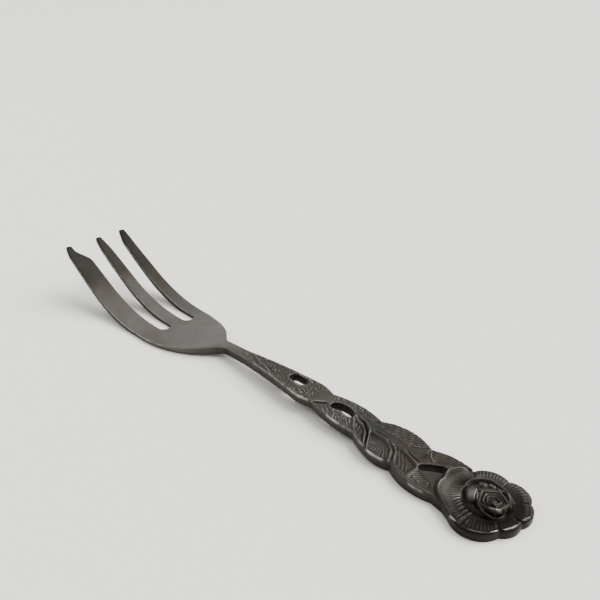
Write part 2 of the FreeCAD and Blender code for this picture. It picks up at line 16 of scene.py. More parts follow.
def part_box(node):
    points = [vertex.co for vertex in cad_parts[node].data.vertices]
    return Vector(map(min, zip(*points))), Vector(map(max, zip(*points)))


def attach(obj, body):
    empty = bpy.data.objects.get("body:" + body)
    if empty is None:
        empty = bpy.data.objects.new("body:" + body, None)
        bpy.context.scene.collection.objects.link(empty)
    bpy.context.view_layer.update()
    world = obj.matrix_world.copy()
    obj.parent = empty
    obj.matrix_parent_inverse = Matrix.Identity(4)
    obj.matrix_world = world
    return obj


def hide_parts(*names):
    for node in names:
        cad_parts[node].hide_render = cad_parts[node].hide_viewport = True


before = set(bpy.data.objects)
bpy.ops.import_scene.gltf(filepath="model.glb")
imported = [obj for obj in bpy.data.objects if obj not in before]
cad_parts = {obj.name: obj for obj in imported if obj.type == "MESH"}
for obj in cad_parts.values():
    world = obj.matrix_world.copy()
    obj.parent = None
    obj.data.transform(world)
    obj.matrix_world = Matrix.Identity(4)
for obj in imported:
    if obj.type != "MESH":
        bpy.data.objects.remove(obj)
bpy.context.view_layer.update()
MM = 0.001

# Side view
FORK_LENGTH = 144.4
ROSE_RADIUS = 8.3
OVERRUN = 4
TIP_X = FORK_LENGTH - ROSE_RADIUS
START_X = -ROSE_RADIUS - OVERRUN
BEND_X = 98.0
BEND_RADIUS = 46.0
TINE_RISE = math.radians(28.0)
BOWL_THICKNESS = 1.05
TIP_THICKNESS = 0.75
# Corners of the side view: x, height, radius
TOP_CORNERS = ((START_X, 2.0, 0), (10.0, 2.0, 80), (55.0, 4.72, 180), (76.0, 3.35, 80),
               (89, BOWL_THICKNESS, 40), (BEND_X, BOWL_THICKNESS, 0))
UNDER_CORNERS = ((START_X, 0, 0), (15.0, 0, 80), (51.0, 2.57, 144), (75.0, 1.0, 40), (82.5, 0, 40),
                 (BEND_X, 0, 0))

# Plan of the stems and the neck
CROSSING_X = 40.7
CROSSING_SKEW = 0.8
CROSSING_WIDTH = 5.6
STEM_WIDTH = 7.5
STEM_SWELL = 3.6
STEM_SWELL_RADIUS = 8
NECK_X = 67.0
NECK_WIDTH = 2.6
NECK_HOLLOW_RADIUS = 50
NECK_RADIUS = 3.5
# Plan of the bowl and the tines
SHOULDER_X = 96.0
SHOULDER_RADIUS = 27.5
SHOULDER_SLOPE = math.radians(41.5)
GUARD_LEAD = 0.6
CUTTING_EDGE = 11.5
GUARD_EDGE = 9.25
TINE_BELLY = 0.25
BELLY_END_X = 129.5
SLOT_Y = 3.8
SLOT_ROOT_X = 94.8
SLOT_MOUTH_X = 126.0
SLOT_ROOT_WIDTH = 3.4
SLOT_MOUTH_WIDTH = 4.6
# Round roots of the slots, and half their width at the mouth: they widen evenly from the root
ROOT_RADIUS = SLOT_ROOT_WIDTH / 2
ROOT_X = SLOT_ROOT_X + ROOT_RADIUS
WIDENING = (SLOT_MOUTH_WIDTH / 2 - ROOT_RADIUS) * (SLOT_MOUTH_X - ROOT_X) / (TIP_X + OVERRUN - ROOT_X)
MOUTH = ROOT_RADIUS + WIDENING
# Corners of the tines' tips: x, y, radius
CUTTING_TIP = ((132.3, 11.4, 8), (135.3, 10.6, 0.7), (135, 8.9, 0.5), (133, 8.85, 1.6), (129.3, 6, 3))
MIDDLE_TIP = ((131.5, 1.45, 9), (135.6, 0.85, 0.6), (135.6, -0.85, 0.6), (131.5, -1.45, 9))
GUARD_TIP = ((132.2, -6.2, 9), (136.1, -7.3, 0.6), (136.1, -9.15, 0.6), (133, -9.3, 9))
# Scallops of the handle's edges, from the crossing to the rose: x and y of the far end, bulge
LEFT_SCALLOPS = ((28.8, 3.5, 0.65), (24, 5.35, 0.2), (18, 4.9, 0.6), (7.2, 6.15, 1.15), (4.5, 6.6, 0))
RIGHT_SCALLOPS = ((27, -3.65, 1.1), (14.7, -4.5, 1.8), (5.6, -5.5, 0.95))
# Slots that pierce the handle: start, end, bend, width
HOLES = (((50.4, -0.9), (47.9, -0.95), 0.05, 2.5), ((36.9, -0.1), (33.1, -0.35), -0.55, 2.2),
         ((12.7, 1.1), (9.9, -1.1), -0.1, 1.8))
# The rose's open petals: bearings of the notches in the rim and of the folds, radii of notches and lobes
NOTCHES = (-96, -44, 74, 143, 180, 219)
FOLDS = (-96, -44, 93, 143, 180, 219)
NOTCH_RADII = (7.9, 7.85, 8.05, 7.7, 7.75, 8.5)
LOBE_RADII = (8.65, 8.4, 8.95, 8.15, 8.8, 9.05)
# Distance between the outline's points: long edges, handle and rose, tines' tips, roots of the slots
EDGE_STEP = 0.35
FINE_STEP = 0.16
TIP_STEP = 0.25
ROOT_STEP = 0.12
# Bulge of an arc that is all but a half circle, as a share of its radius
HALF_CIRCLE = 0.9999


# Curves in plan and in side view

def arc_points(a, b, bulge, spacing):
    """Points from a towards b, without b, on an arc that stands out to the right of the way by bulge."""
    a, b = np.array(a, float), np.array(b, float)
    chord = np.linalg.norm(b - a)
    count = max(2, math.ceil(chord / spacing))
    share = np.arange(count)[:, None] / count
    along = (b - a) / chord
    side = np.array([along[1], -along[0]])
    if abs(bulge) < 1e-6:
        return a + (b - a) * share
    radius = (chord ** 2 / 4 + bulge ** 2) / (2 * bulge)
    centre = (a + b) / 2 + side * (bulge - radius)
    half = math.asin(min(1, max(-1, chord / 2 / radius)))
    if abs(bulge) > chord / 2:
        half = math.copysign(math.pi, radius) - half
    angle = (2 * share - 1) * half
    return centre + radius * (np.cos(angle) * side + np.sin(angle) * along)


def rounded(corners, spacing):
    """Points along straight lines through the corners (x, y, radius), each corner rounded to its radius."""
    points = []
    here = np.array(corners[0][:2], float)
    for before, corner, after in zip(corners, corners[1:], corners[2:]):
        p = np.array(corner[:2], float)
        back = np.array(before[:2]) - p
        ahead = np.array(after[:2]) - p
        back, ahead = back / np.linalg.norm(back), ahead / np.linalg.norm(ahead)
        half = math.acos(np.clip(back @ ahead, -1, 1)) / 2
        if corner[2] == 0 or math.pi / 2 - half < 1e-4:
            points.append(arc_points(here, p, 0, spacing))
            here = p
            continue
        reach = corner[2] / math.tan(half)
        start, end = p + back * reach, p + ahead * reach
        points.append(arc_points(here, start, 0, spacing))
        turn = -back[0] * ahead[1] + back[1] * ahead[0]
        sagitta = corner[2] * (1 - math.sin(half)) * (1 if turn > 0 else -1)
        points.append(arc_points(start, end, sagitta, min(spacing, corner[2] / 4)))
        here = end
    points.append(arc_points(here, corners[-1][:2], 0, spacing))
    return np.concatenate(points + [np.array([corners[-1][:2]], float)])


def upsweep(depth, end_depth):
    """The tines' bend and rise in side view, for a surface this far above the underside."""
    along = np.array([math.cos(TINE_RISE), math.sin(TINE_RISE)])
    normal = np.array([-math.sin(TINE_RISE), math.cos(TINE_RISE)])
    centre = np.array([BEND_X, BEND_RADIUS])
    angles = np.linspace(0, TINE_RISE, 24)[:, None]
    bend = centre + (BEND_RADIUS - depth) * np.hstack([np.sin(angles), -np.cos(angles)])
    run = (TIP_X + OVERRUN - BEND_X) / math.cos(TINE_RISE)
    tip = centre - normal * BEND_RADIUS + along * run + normal * end_depth
    return np.vstack([bend, tip])


TOP_LINE = np.vstack([rounded(TOP_CORNERS, 1.0)[:-1], upsweep(BOWL_THICKNESS, TIP_THICKNESS)])
UNDER_LINE = np.vstack([rounded(UNDER_CORNERS, 1.0)[:-1], upsweep(0, 0)])


def top_height(x):
    return np.interp(x, TOP_LINE[:, 0], TOP_LINE[:, 1])


def under_height(x):
    return np.interp(x, UNDER_LINE[:, 0], UNDER_LINE[:, 1])


# Outline

def polar(radius, bearing):
    return radius * math.cos(math.radians(bearing)), radius * math.sin(math.radians(bearing))


def long_edge(side, outer, lead):
    """Stem and shoulder on one side, from the crossing to the start of the tine."""
    neck = NECK_WIDTH / 2
    corner_x = SHOULDER_X - lead - SHOULDER_RADIUS * math.tan(SHOULDER_SLOPE / 2)
    neck_end_x = corner_x - (outer - neck) / math.tan(SHOULDER_SLOPE)
    crossing_x = CROSSING_X + side * CROSSING_SKEW
    corners = (
        (crossing_x, CROSSING_WIDTH / 2, 0),
        (crossing_x + STEM_SWELL, STEM_WIDTH / 2, STEM_SWELL_RADIUS),
        (NECK_X, neck, NECK_HOLLOW_RADIUS),
        (neck_end_x, neck, NECK_RADIUS),
        (corner_x, outer, SHOULDER_RADIUS),
        (SHOULDER_X - lead + 1, outer, 0),
    )
    return rounded([(x, side * y, radius) for x, y, radius in corners], EDGE_STEP)[:-1]


def scallops(start, far_ends, side):
    """Scalloped edge of the handle from the crossing to the rose."""
    points = []
    for x, y, bulge in far_ends:
        points.append(arc_points(start, (x, y), -side * bulge, FINE_STEP))
        start = (x, y)
    return np.concatenate(points + [np.array([start], float)])


def slot_edges(middle_y):
    """A slot between two tines: one wall, the round root and the other wall."""
    left, right = (ROOT_X, middle_y + ROOT_RADIUS), (ROOT_X, middle_y - ROOT_RADIUS)
    return [
        arc_points((SLOT_MOUTH_X, middle_y + MOUTH), left, 0, EDGE_STEP),
        arc_points(left, right, ROOT_RADIUS * HALF_CIRCLE, ROOT_STEP),
        arc_points(right, (SLOT_MOUTH_X, middle_y - MOUTH), 0, EDGE_STEP),
    ]


def rose_rim():
    """The lobes of the rim that stand clear of the handle, clockwise."""
    pieces = []
    for index in (0, 5, 4, 3, 2):
        after = (index + 1) % len(NOTCHES)
        start, end = NOTCHES[index], NOTCHES[after]
        a, b = polar(NOTCH_RADII[after], end), polar(NOTCH_RADII[index], start)
        middle = start + (end - start) % 360 / 2
        bulge = LOBE_RADII[index] - (np.array(a) + b) @ np.array(polar(0.5, middle))
        pieces.append(arc_points(a, b, -bulge, FINE_STEP))
    return pieces + [np.array([polar(NOTCH_RADII[2], NOTCHES[2])])]


def outline():
    """The closed outer outline."""
    cutting_corners = ((BELLY_END_X, CUTTING_EDGE, 0), *CUTTING_TIP, (SLOT_MOUTH_X, SLOT_Y + MOUTH, 0))
    middle_corners = ((SLOT_MOUTH_X, SLOT_Y - MOUTH, 0), *MIDDLE_TIP, (SLOT_MOUTH_X, MOUTH - SLOT_Y, 0))
    guard_corners = ((SLOT_MOUTH_X, -MOUTH - SLOT_Y, 0), *GUARD_TIP, (BELLY_END_X, -GUARD_EDGE, 0))
    guard_start_x = SHOULDER_X - GUARD_LEAD + 1
    pieces = [
        scallops((CROSSING_X + CROSSING_SKEW, CROSSING_WIDTH / 2), LEFT_SCALLOPS, -1)[::-1][:-1],
        long_edge(1, CUTTING_EDGE, 0),
        arc_points((SHOULDER_X + 1, CUTTING_EDGE), (BELLY_END_X, CUTTING_EDGE), -TINE_BELLY, EDGE_STEP),
        rounded(cutting_corners, TIP_STEP)[:-1],
        *slot_edges(SLOT_Y),
        rounded(middle_corners, TIP_STEP)[:-1],
        *slot_edges(-SLOT_Y),
        rounded(guard_corners, TIP_STEP)[:-1],
        arc_points((BELLY_END_X, -GUARD_EDGE), (guard_start_x, -GUARD_EDGE), -TINE_BELLY, EDGE_STEP),
        long_edge(-1, GUARD_EDGE, GUARD_LEAD)[::-1],
        scallops((CROSSING_X - CROSSING_SKEW, -CROSSING_WIDTH / 2), RIGHT_SCALLOPS, 1)[1:-1],
    ]
    return np.concatenate(pieces + rose_rim())[::-1]


def turned(vector, angle):
    """A plan vector turned anticlockwise."""
    cosine, sine = math.cos(angle), math.sin(angle)
    return np.array([cosine * vector[0] - sine * vector[1], sine * vector[0] + cosine * vector[1]])


def slot_loop(start, end, bend, width):
    """Closed outline of constant width about an arc with round ends."""
    start, end = np.array(start), np.array(end)
    along = (end - start) / np.linalg.norm(end - start)
    side = np.array([along[1], -along[0]])
    half = width / 2
    swing = 2 * math.atan2(2 * bend, np.linalg.norm(end - start))
    at_start = turned(side, -swing) * half
    at_end = turned(side, swing) * half
    outer_bulge = bend + half - half * math.cos(swing)
    inner_bulge = -bend + half - half * math.cos(swing)
    return np.concatenate([
        arc_points(start + at_start, end + at_end, outer_bulge, FINE_STEP),
        arc_points(end + at_end, end - at_end, half * HALF_CIRCLE, FINE_STEP),
        arc_points(end - at_end, start - at_start, inner_bulge, FINE_STEP),
        arc_points(start - at_start, start + at_start, half * HALF_CIRCLE, FINE_STEP),
    ])


# Relief tools: each takes plan points and gives heights in millimetres

# Points on a smooth curve for each point that it is drawn through, and the width of a leaf's sloping bank
CURVE_STEPS = 12
LEAF_BANK = 0.7


def bump(distance, width):
    """1 on a line, falling smoothly to 0 at this distance from it."""
    share = np.clip(np.abs(distance) / width, 0, 1)
    return (1 - share ** 2) ** 2


def smooth(value, low, high):
    share = np.clip((value - low) / (high - low), 0, 1)
    return share * share * (3 - 2 * share)


def curve(points, closed=False):
    """A smooth curve through a few points."""
    p = np.array(points, float)
    if len(p) == 2:
        return p
    ends = np.vstack([2 * p[0] - p[1], p, 2 * p[-1] - p[-2]])
    if closed:
        ends = np.vstack([p[-1], p, p[:2]])
        p = np.vstack([p, p[:1]])
    out = []
    for a, b, c, d in zip(ends, ends[1:], ends[2:], ends[3:]):
        t = np.linspace(0, 1, CURVE_STEPS, endpoint=False)[:, None]
        slope, sag, twist = c - a, 2 * a - 5 * b + 4 * c - d, 3 * b - a - 3 * c + d
        out.append(0.5 * (2 * b + slope * t + sag * t ** 2 + twist * t ** 3))
    return np.vstack(out + [p[-1:]])


def in_reach(xy, line, reach):
    """Indices of the points in a polyline's box, which is larger by reach on each side."""
    return np.nonzero(((xy > line.min(0) - reach) & (xy < line.max(0) + reach)).all(1))[0]


def nearest(xy, line, reach):
    """Points within reach of a polyline: their indices, signed distance, share of its length."""
    near = in_reach(xy, line, reach)
    p = xy[near]
    best = np.full(len(p), 1e9)
    sign = np.ones(len(p))
    where = np.zeros(len(p))
    steps = np.linalg.norm(np.diff(line, axis=0), axis=1)
    total = steps.sum()
    done = 0.0
    for a, b, step in zip(line, line[1:], steps):
        along = (b - a) / step
        rel = p - a
        t = np.clip(rel @ along, 0, step)
        gap = np.hypot(rel[:, 0] - t * along[0], rel[:, 1] - t * along[1])
        closer = gap < best
        best = np.where(closer, gap, best)
        sign = np.where(closer, np.sign(along[0] * rel[:, 1] - along[1] * rel[:, 0]), sign)
        where = np.where(closer, (done + t) / total, where)
        done += step
    keep = best < reach
    return near[keep], (best * sign)[keep], where[keep]


def stroke(height, xy, points, width, lift, taper=0.25):
    """Adds a ridge, or a groove if lift is negative, along a curve, thinning out at its ends."""
    index, gap, share = nearest(xy, curve(points), width)
    fade = np.clip(np.minimum(share, 1 - share) / taper, 0, 1) ** 0.7
    height[index] += lift * fade * bump(gap, width)


def depth_inside(xy, points, reach):
    """Distance inside a smooth closed curve, from -reach outside it to reach."""
    line = curve(points, closed=True)
    depth = np.full(len(xy), -reach)
    near = in_reach(xy, line, reach)
    inner = inside_loops(xy[near], [line[:-1]])
    depth[near[inner]] = reach
    index, gap, _ = nearest(xy, line, reach)
    depth[index] = np.where(depth[index] > 0, np.abs(gap), -np.abs(gap))
    return depth


def straight_veins(xy, bearing, pitch):
    """Parallel wavy veins along a bearing, from -1 to 1."""
    turn = math.radians(bearing)
    u = xy[:, 0] * math.cos(turn) + xy[:, 1] * math.sin(turn)
    v = xy[:, 0] * math.sin(turn) - xy[:, 1] * math.cos(turn)
    wave = np.cos(2 * math.pi * (v + 0.08 * np.sin(1.7 * u + v) + 0.04 * np.sin(4.1 * u)) / pitch)
    return wave * (0.75 + 0.25 * np.sin(1.3 * v + 2.1 * u))


def fan_veins(xy, centre, count):
    """Veins that run out from a point, from -1 to 1."""
    x, y = xy[:, 0] - centre[0], xy[:, 1] - centre[1]
    bearing = np.arctan2(y, x)
    r = np.hypot(x, y)
    return np.cos(count * bearing + 0.8 * np.sin(1.4 * r)) * (0.7 + 0.3 * np.sin(3.1 * r + 5 * bearing))


def leaf(height, xy, points, dish, veins, lift):
    """A sunk blade inside a closed curve, with veins on it."""
    depth = depth_inside(xy, points, LEAF_BANK)
    height -= dish * smooth(depth, 0.0, LEAF_BANK)
    height += lift * veins * smooth(depth, 0.12, 0.4)


def grain(xy, bearing, pitch):
    """Broken wavy ridges that run along a bearing, from -0.5 to 0.5."""
    u = xy[:, 0] * math.cos(bearing) + xy[:, 1] * math.sin(bearing)
    v = xy[:, 1] * math.cos(bearing) - xy[:, 0] * math.sin(bearing)
    wander = 0.35 * np.sin(1.15 * u + 0.6 * v) + 0.22 * np.sin(2.3 * u - 1.9 * v + 1.0)
    wander += 0.1 * np.sin(4.9 * u + 3.1 * v)
    ridge = 1 - np.abs(np.sin(math.pi * (v + wander) / pitch))
    breaks = 0.5 + 0.5 * np.sin(1.9 * u + 2.2 * np.sin(2.7 * v) + 1.3 * np.sin(0.8 * u))
    return (ridge ** 1.5 - 0.4) * (0.35 + 0.65 * breaks) + 0.12 * np.sin(5.3 * u + 4.0 * np.sin(1.7 * v))


def twigs(height, xy, rows, width, lift):
    """The same ridge or groove along each of several curves."""
    for points in rows:
        stroke(height, xy, points, width, lift)


# The handle's carving, as curves and closed outlines in plan

# Edge of the upper stem where the lower one comes out from under it
STEP_START = np.array([41.9, 3.6])
STEP_END = np.array([38.1, -0.2])
LONG_TWIGS = (
    ((68.5, 0.1), (65, 0.9), (62.4, 2)),
    ((65.5, -0.9), (62.5, -0.1), (60, 1), (57.5, 1.4)),
    ((60.8, 0.2), (58, 1.2), (54.2, 2.9)),
    ((57, 1.9), (54, 2.9), (50, 3.2)),
    ((61, -1.6), (57, -1.9), (52.8, -2)),
)
STEM_GROOVES = (
    ((66, 0.6), (63.5, 1.4)),
    ((64.6, -0.3), (62.2, 0.7)),
    ((47, 1.2), (44.2, 1.8)),
    ((47.5, 2), (43.5, 2.6)),
)
HOLE_RIDGES = (
    ((52.6, -1.8), (50.6, -2.55), (47.6, -2.6), (45.4, -1.9)),
    ((52, 0.1), (49.6, 0.95), (46.6, 0.9)),
    ((38.6, 0.5), (37, -1.5), (34.6, -2.05), (32.2, -1.6)),
    ((37.8, 1.2), (35, 1.1), (32.4, 0.7)),
)
FINE_TWIGS = (
    ((46.6, 1), (43.9, 1.7), (42.6, 2.4)), ((47.4, 1.7), (44.6, 2.3)), ((45.8, 0.2), (43.2, 0.9)),
    ((39.6, 2), (37.6, 3.1), (35.8, 3.5)), ((38.8, 1.5), (36.8, 2.6)), ((38.4, 2.9), (36.4, 3.7)),
    ((35.4, 1.7), (33.8, 2.6), (32.6, 3)), ((36.4, 1.6), (35, 2.4)), ((34.4, 1.2), (32.6, 2)),
    ((33.2, 1.1), (31.8, 2.2), (30.9, 3)), ((32, 1.3), (30.8, 2.3)), ((46, -2.4), (43.6, -2.2)),
    ((44.6, -1.2), (42.8, -0.6)), ((43.6, -2.6), (42.4, -2.1)), ((35.8, -3.2), (32.4, -3.5)),
    ((33.8, -2.6), (30.4, -2.6)), ((31.4, -3.3), (28.6, -3)), ((30.6, -1.9), (27.6, -2)),
)

# Leaves on the cutting side, then on the other side with the bearing, pitch and height of their veins
NARROW_LEAF = ((32, -1), (30.6, 1.1), (29.3, 2.6), (27.2, 3.7), (24.6, 5), (25.6, 3.6), (26.7, 1.8),
               (28.5, 0.4), (30.4, -0.1))
FAN_LEAF = ((26.6, 0.6), (25.6, 2.4), (24.5, 4.1), (23.4, 5.1), (20.2, 5.5), (18.4, 5.2), (19, 3.3),
            (20.2, 1.4), (22.3, 0.3), (24.4, 0.4))
SPLIT_LEAF = ((20.9, 0.3), (18.9, 2.6), (17.4, 4.5), (14.2, 5.2), (13.6, 3.4), (13.8, 1.7), (16.4, 0.7),
              (18.6, 0.1))
CORNER_LEAF = ((13.4, 1.6), (11.4, 2.6), (9, 3.6), (8.2, 5.2), (10.4, 5.9), (13.2, 5.7), (13.5, 3.6))
FAR_LEAVES = (
    (((29, -2.2), (25.2, -1.9), (21, -2.2), (17.4, -2.7), (15.1, -3.8), (14.7, -5.4), (19, -7.2),
      (24.6, -6)), 214, 0.68, 0.12),
    (((22, -0.7), (18, -1.6), (14.6, -2.8), (13.7, -1.6), (14.6, -0.3), (17, -0.1), (19.5, -0.4)),
     203, 0.66, 0.06),
    (((14.6, -2.8), (11.6, -1.9), (8.4, -4.1), (6.2, -5.6), (7.6, -7.4), (12, -7), (14.8, -5)),
     201, 0.66, 0.12),
)
FAR_LEAF_DISH = 0.12

# Grooves between the leaves, and ribs beside the grooves
DEEP_GROOVE = ((31.9, -1.3), (30.3, -0.76), (29.2, -0.6), (27.9, 0.36), (26.8, 1.28), (25.6, 2.87),
               (24.7, 4.36), (23.8, 5.5))
WIDE_GROOVE = ((22.3, 0.16), (21.2, 0.54), (20.4, 0.93), (19.6, 1.7), (19, 2.8), (18.3, 4), (17.7, 5.2))
SMALL_GROOVES = (
    ((15.2, -4.7), (16.4, -3.2), (18.4, -1.7)),
    ((9.2, -2.6), (8, -3.9), (6.4, -5.3)),
    ((26.2, -0.3), (24.4, -0.35), (22.6, -0.5)),
    ((17.9, -0.4), (16.2, 0.05), (14.2, 0.4)),
)
LEAF_RIBS = (
    ((32.2, -1.3), (32, -0.4), (30.8, 0.87), (29.6, 2.4), (28.5, 3.2), (27.2, 3.85), (25.5, 4.7),
     (23.8, 5.6)),
    ((32.2, -1.3), (31.6, -0.5), (30.2, 0.1), (29, 0.25), (28, 0.75), (27.1, 1.55), (26.2, 2.9),
     (25.3, 4.2)),
    ((31.9, -1.7), (30.2, -1.15), (28.8, -0.95), (27.6, -0.3), (26.8, 0.3), (26.1, 1.2), (25.2, 2.7),
     (24.3, 4.1), (23.4, 5.2)),
    ((26.5, 0.12), (25.4, 0.31), (24.3, 0.17), (23.4, -0.04), (22.3, 0)),
    ((23.1, 5.25), (21.8, 5.5), (19.8, 5.55), (18.6, 5.3)),
    ((22.2, -0.1), (21.1, 0.22), (20, 0.7), (19.1, 1.4), (18.5, 2.4), (17.8, 3.6), (17, 4.6), (15.8, 5.2),
     (14.2, 5.3)),
    ((18.7, -0.2), (17.9, 0.12), (16.9, 0.35), (15.8, 0.7), (14.8, 1), (13.9, 1.3)),
)
BROAD_RIBS = (
    ((26, -1.7), (23.3, -1.8), (21.1, -1.9), (19.6, -2), (18.3, -2.5), (17, -2.7)),
    ((14.2, 6), (11.5, 6.2), (8.8, 5.9), (7.2, 5.7)),
    ((14, -0.55), (12.3, -0.75), (10.8, -1.6), (9.2, -3), (6.6, -5.1)),
    ((14.6, -4.2), (13.6, -2.6), (12, -1.4)),
)
BEADS = ((11.25, 4.9), (9.7, 4), (12.5, 4.5))
BEAD_RADIUS = 0.36


def spot(xy, place, radius):
    """1 at a place, falling smoothly to 0 at this distance from it."""
    return bump(np.hypot(xy[:, 0] - place[0], xy[:, 1] - place[1]), radius)


def crossing_step(height, xy):
    """The lower stem dips where it comes out from under the upper one."""
    length = np.linalg.norm(STEP_END - STEP_START)
    along = (STEP_END - STEP_START) / length
    away = np.array([along[1], -along[0]])
    gap = (xy - STEP_START) @ away
    run = (xy - STEP_START) @ along
    dip = np.exp(-np.clip(gap, 0, 9) / 2.2) * smooth(gap, -0.1, 0.25) * smooth(run, -1.2, 0.6)
    height -= 0.3 * dip * (1 - smooth(run, length - 1.2, length + 0.3))
    stroke(height, xy, ((42.0, 3.3), (40.4, 1.9), (38.6, 0.1)), 0.28, -0.5)


def stem_bark(height, xy):
    """Twisted bark with twigs on it, calm where the stems are worn smooth."""
    x, y = xy.T
    bark = smooth(x, 41, 44) * (1 - 0.35 * smooth(x, 64, 70)) * (1 - smooth(x, 73, 78))
    bark += 0.8 * (1 - smooth(x, 37.5, 39.5)) * smooth(x, 29, 32)
    first_calm = bump(np.hypot((x - 54.6) / 1.6, y + 0.9), 1.6)
    second_calm = bump(np.hypot((x - 42.6) / 1.5, y + 1), 1.9)
    bark *= 1 - 0.8 * first_calm - 0.85 * second_calm
    height += 0.26 * np.clip(bark, 0, 1) * grain(xy, math.radians(160), 0.66)
    twigs(height, xy, LONG_TWIGS, 0.34, 0.17)
    twigs(height, xy, STEM_GROOVES, 0.3, -0.12)
    twigs(height, xy, HOLE_RIDGES, 0.42, 0.16)
    twigs(height, xy, FINE_TWIGS, 0.24, 0.12)


def leaves(height, xy):
    """Sunk and veined blades along both edges."""
    leaf(height, xy, NARROW_LEAF, 0.28, straight_veins(xy, 112, 0.72), 0.05)
    leaf(height, xy, FAN_LEAF, 0.34, fan_veins(xy, (23.2, 0.2), 40), 0.045)
    half = smooth(0.76 * (xy[:, 0] - 15.9) + 0.65 * (xy[:, 1] - 2.0), -0.4, 0.4)
    veins = half * straight_veins(xy, 128, 0.7) + (1 - half) * straight_veins(xy, 49, 0.6)
    leaf(height, xy, SPLIT_LEAF, 0.24, veins, 0.045)
    leaf(height, xy, CORNER_LEAF, 0.12, straight_veins(xy, 49, 0.6), 0.05)
    # On the other side the veins run from the spine to the edge
    for points, bearing, pitch, lift in FAR_LEAVES:
        leaf(height, xy, points, FAR_LEAF_DISH, straight_veins(xy, bearing, pitch), lift)


def handle_relief(xy):
    """Stems, their crossing, leaves and the hollows between them."""
    height = np.zeros(len(xy))
    crossing_step(height, xy)
    stem_bark(height, xy)
    leaves(height, xy)
    stroke(height, xy, DEEP_GROOVE, 0.36, -0.36)
    stroke(height, xy, WIDE_GROOVE, 0.46, -0.32)
    twigs(height, xy, SMALL_GROOVES, 0.28, -0.2)
    twigs(height, xy, LEAF_RIBS, 0.26, 0.2)
    twigs(height, xy, BROAD_RIBS, 0.34, 0.14)
    for place in BEADS:
        height += 0.12 * spot(xy, place, BEAD_RADIUS)
    return height


# The rose

PETAL_HEIGHT = 1.62
# Radius of the open petals on the handle, by bearing
HANDLE_BEARINGS = (-44, -30, -12, -1, 6, 14, 25, 34, 44, 56, 68, 78, 92, 108)
HANDLE_RADII = (7.85, 8.8, 9.4, 8.65, 8.35, 8.65, 8.65, 8.45, 8.1, 7.9, 8.15, 8.5, 8.8, 8.9)
CRIMPS = (((6.5, 0.9), (4.55, -1.1)), ((6.3, 1.25), (4.45, -0.7)), ((6.1, 1.7), (4.2, -0.1)),
          ((5.8, 2.2), (4.05, 0.5)), ((5.35, 2.8), (3.8, 1.05)), ((4.85, 3.3), (3.5, 1.5)),
          ((4.25, 3.85), (3.1, 1.95)), ((3.5, 4.3), (2.75, 2.35)))
FOLD_ROWS = (((2.85, 4.75), (2.2, 2.9)), ((2.15, 5.35), (1.45, 3.3)), ((1.2, 5.55), (0.5, 3.6)),
             ((0.3, 5.7), (-0.3, 3.9)))
FOLD_BEARINGS = (84, 92, 100, 109)
# Low dome and the rim of the cup round it
DOME_X = -0.4
DOME_Y = -0.25
DOME_RADIUS = 4.45
DOME_RISE = 0.95
CUP_RIM = ((5.05, -1), (4.35, -3.05), (3.15, -4.5), (1.6, -5.3), (-0.2, -5.25), (-1.75, -4.75),
           (-3.25, -3.85), (-4.3, -3))
INNER_RIM = 0.84
CUP_GROOVE = ((4.4, -1.1), (4.1, 0.1), (3.7, 1), (3.1, 1.9), (2.3, 2.8), (1.3, 3.4))
# Beaded petals: middle x and y, half length, half width, turn in degrees
BEADED = ((2.05, -2.95, 0.85, 0.7, 42), (0.6, -3.8, 0.75, 0.58, 30), (-0.95, -4.1, 0.7, 0.3, 20))
FAR_PETAL = ((-0.6, -3.2), (-2.2, -2.9), (-3.3, -2.1), (-4.2, -0.9), (-4.75, 0.5))
NEAR_PETAL = ((0.7, 0.4), (0.6, 1.8), (-0.3, 2.95), (-1.7, 3.5), (-2.95, 3.55), (-4.1, 3), (-4.9, 1.9),
              (-4.9, 0.3), (-3.9, -0.8), (-1.8, 0.3))
CRESCENT = ((-2.1, 2.25), (-3, 2.2), (-3.75, 1.8), (-4.25, 0.95))
HEART_HEIGHT = 2.84
BUD_RADIUS = 0.76
BUD_RISE = 0.48


def petal_place(bearing, bounds):
    """Share of the way across its petal, the petal's width in degrees and its number, at each bearing."""
    around = (bearing - bounds[0]) % 360
    low = np.array([(bound - bounds[0]) % 360 for bound in bounds] + [360])
    index = np.searchsorted(low, around, side="right") - 1
    start, end = low[index], low[np.minimum(index + 1, len(low) - 1)]
    return np.clip((around - start) / (end - start), 0, 1), end - start, index


def rim_radius(bearing):
    """Radius of the open petals' edge at each bearing."""
    lobe, _, petal = petal_place(bearing, NOTCHES)
    first = np.array(NOTCH_RADII)[petal]
    second = np.array(NOTCH_RADII)[(petal + 1) % len(NOTCHES)]
    low_edge = first + (second - first) * lobe
    edge = low_edge + (np.array(LOBE_RADII)[petal] - low_edge) * np.sin(math.pi * lobe) ** 0.7
    on_handle = (bearing > HANDLE_BEARINGS[0]) & (bearing < HANDLE_BEARINGS[-1])
    return np.where(on_handle, np.interp(bearing, HANDLE_BEARINGS, HANDLE_RADII), edge)


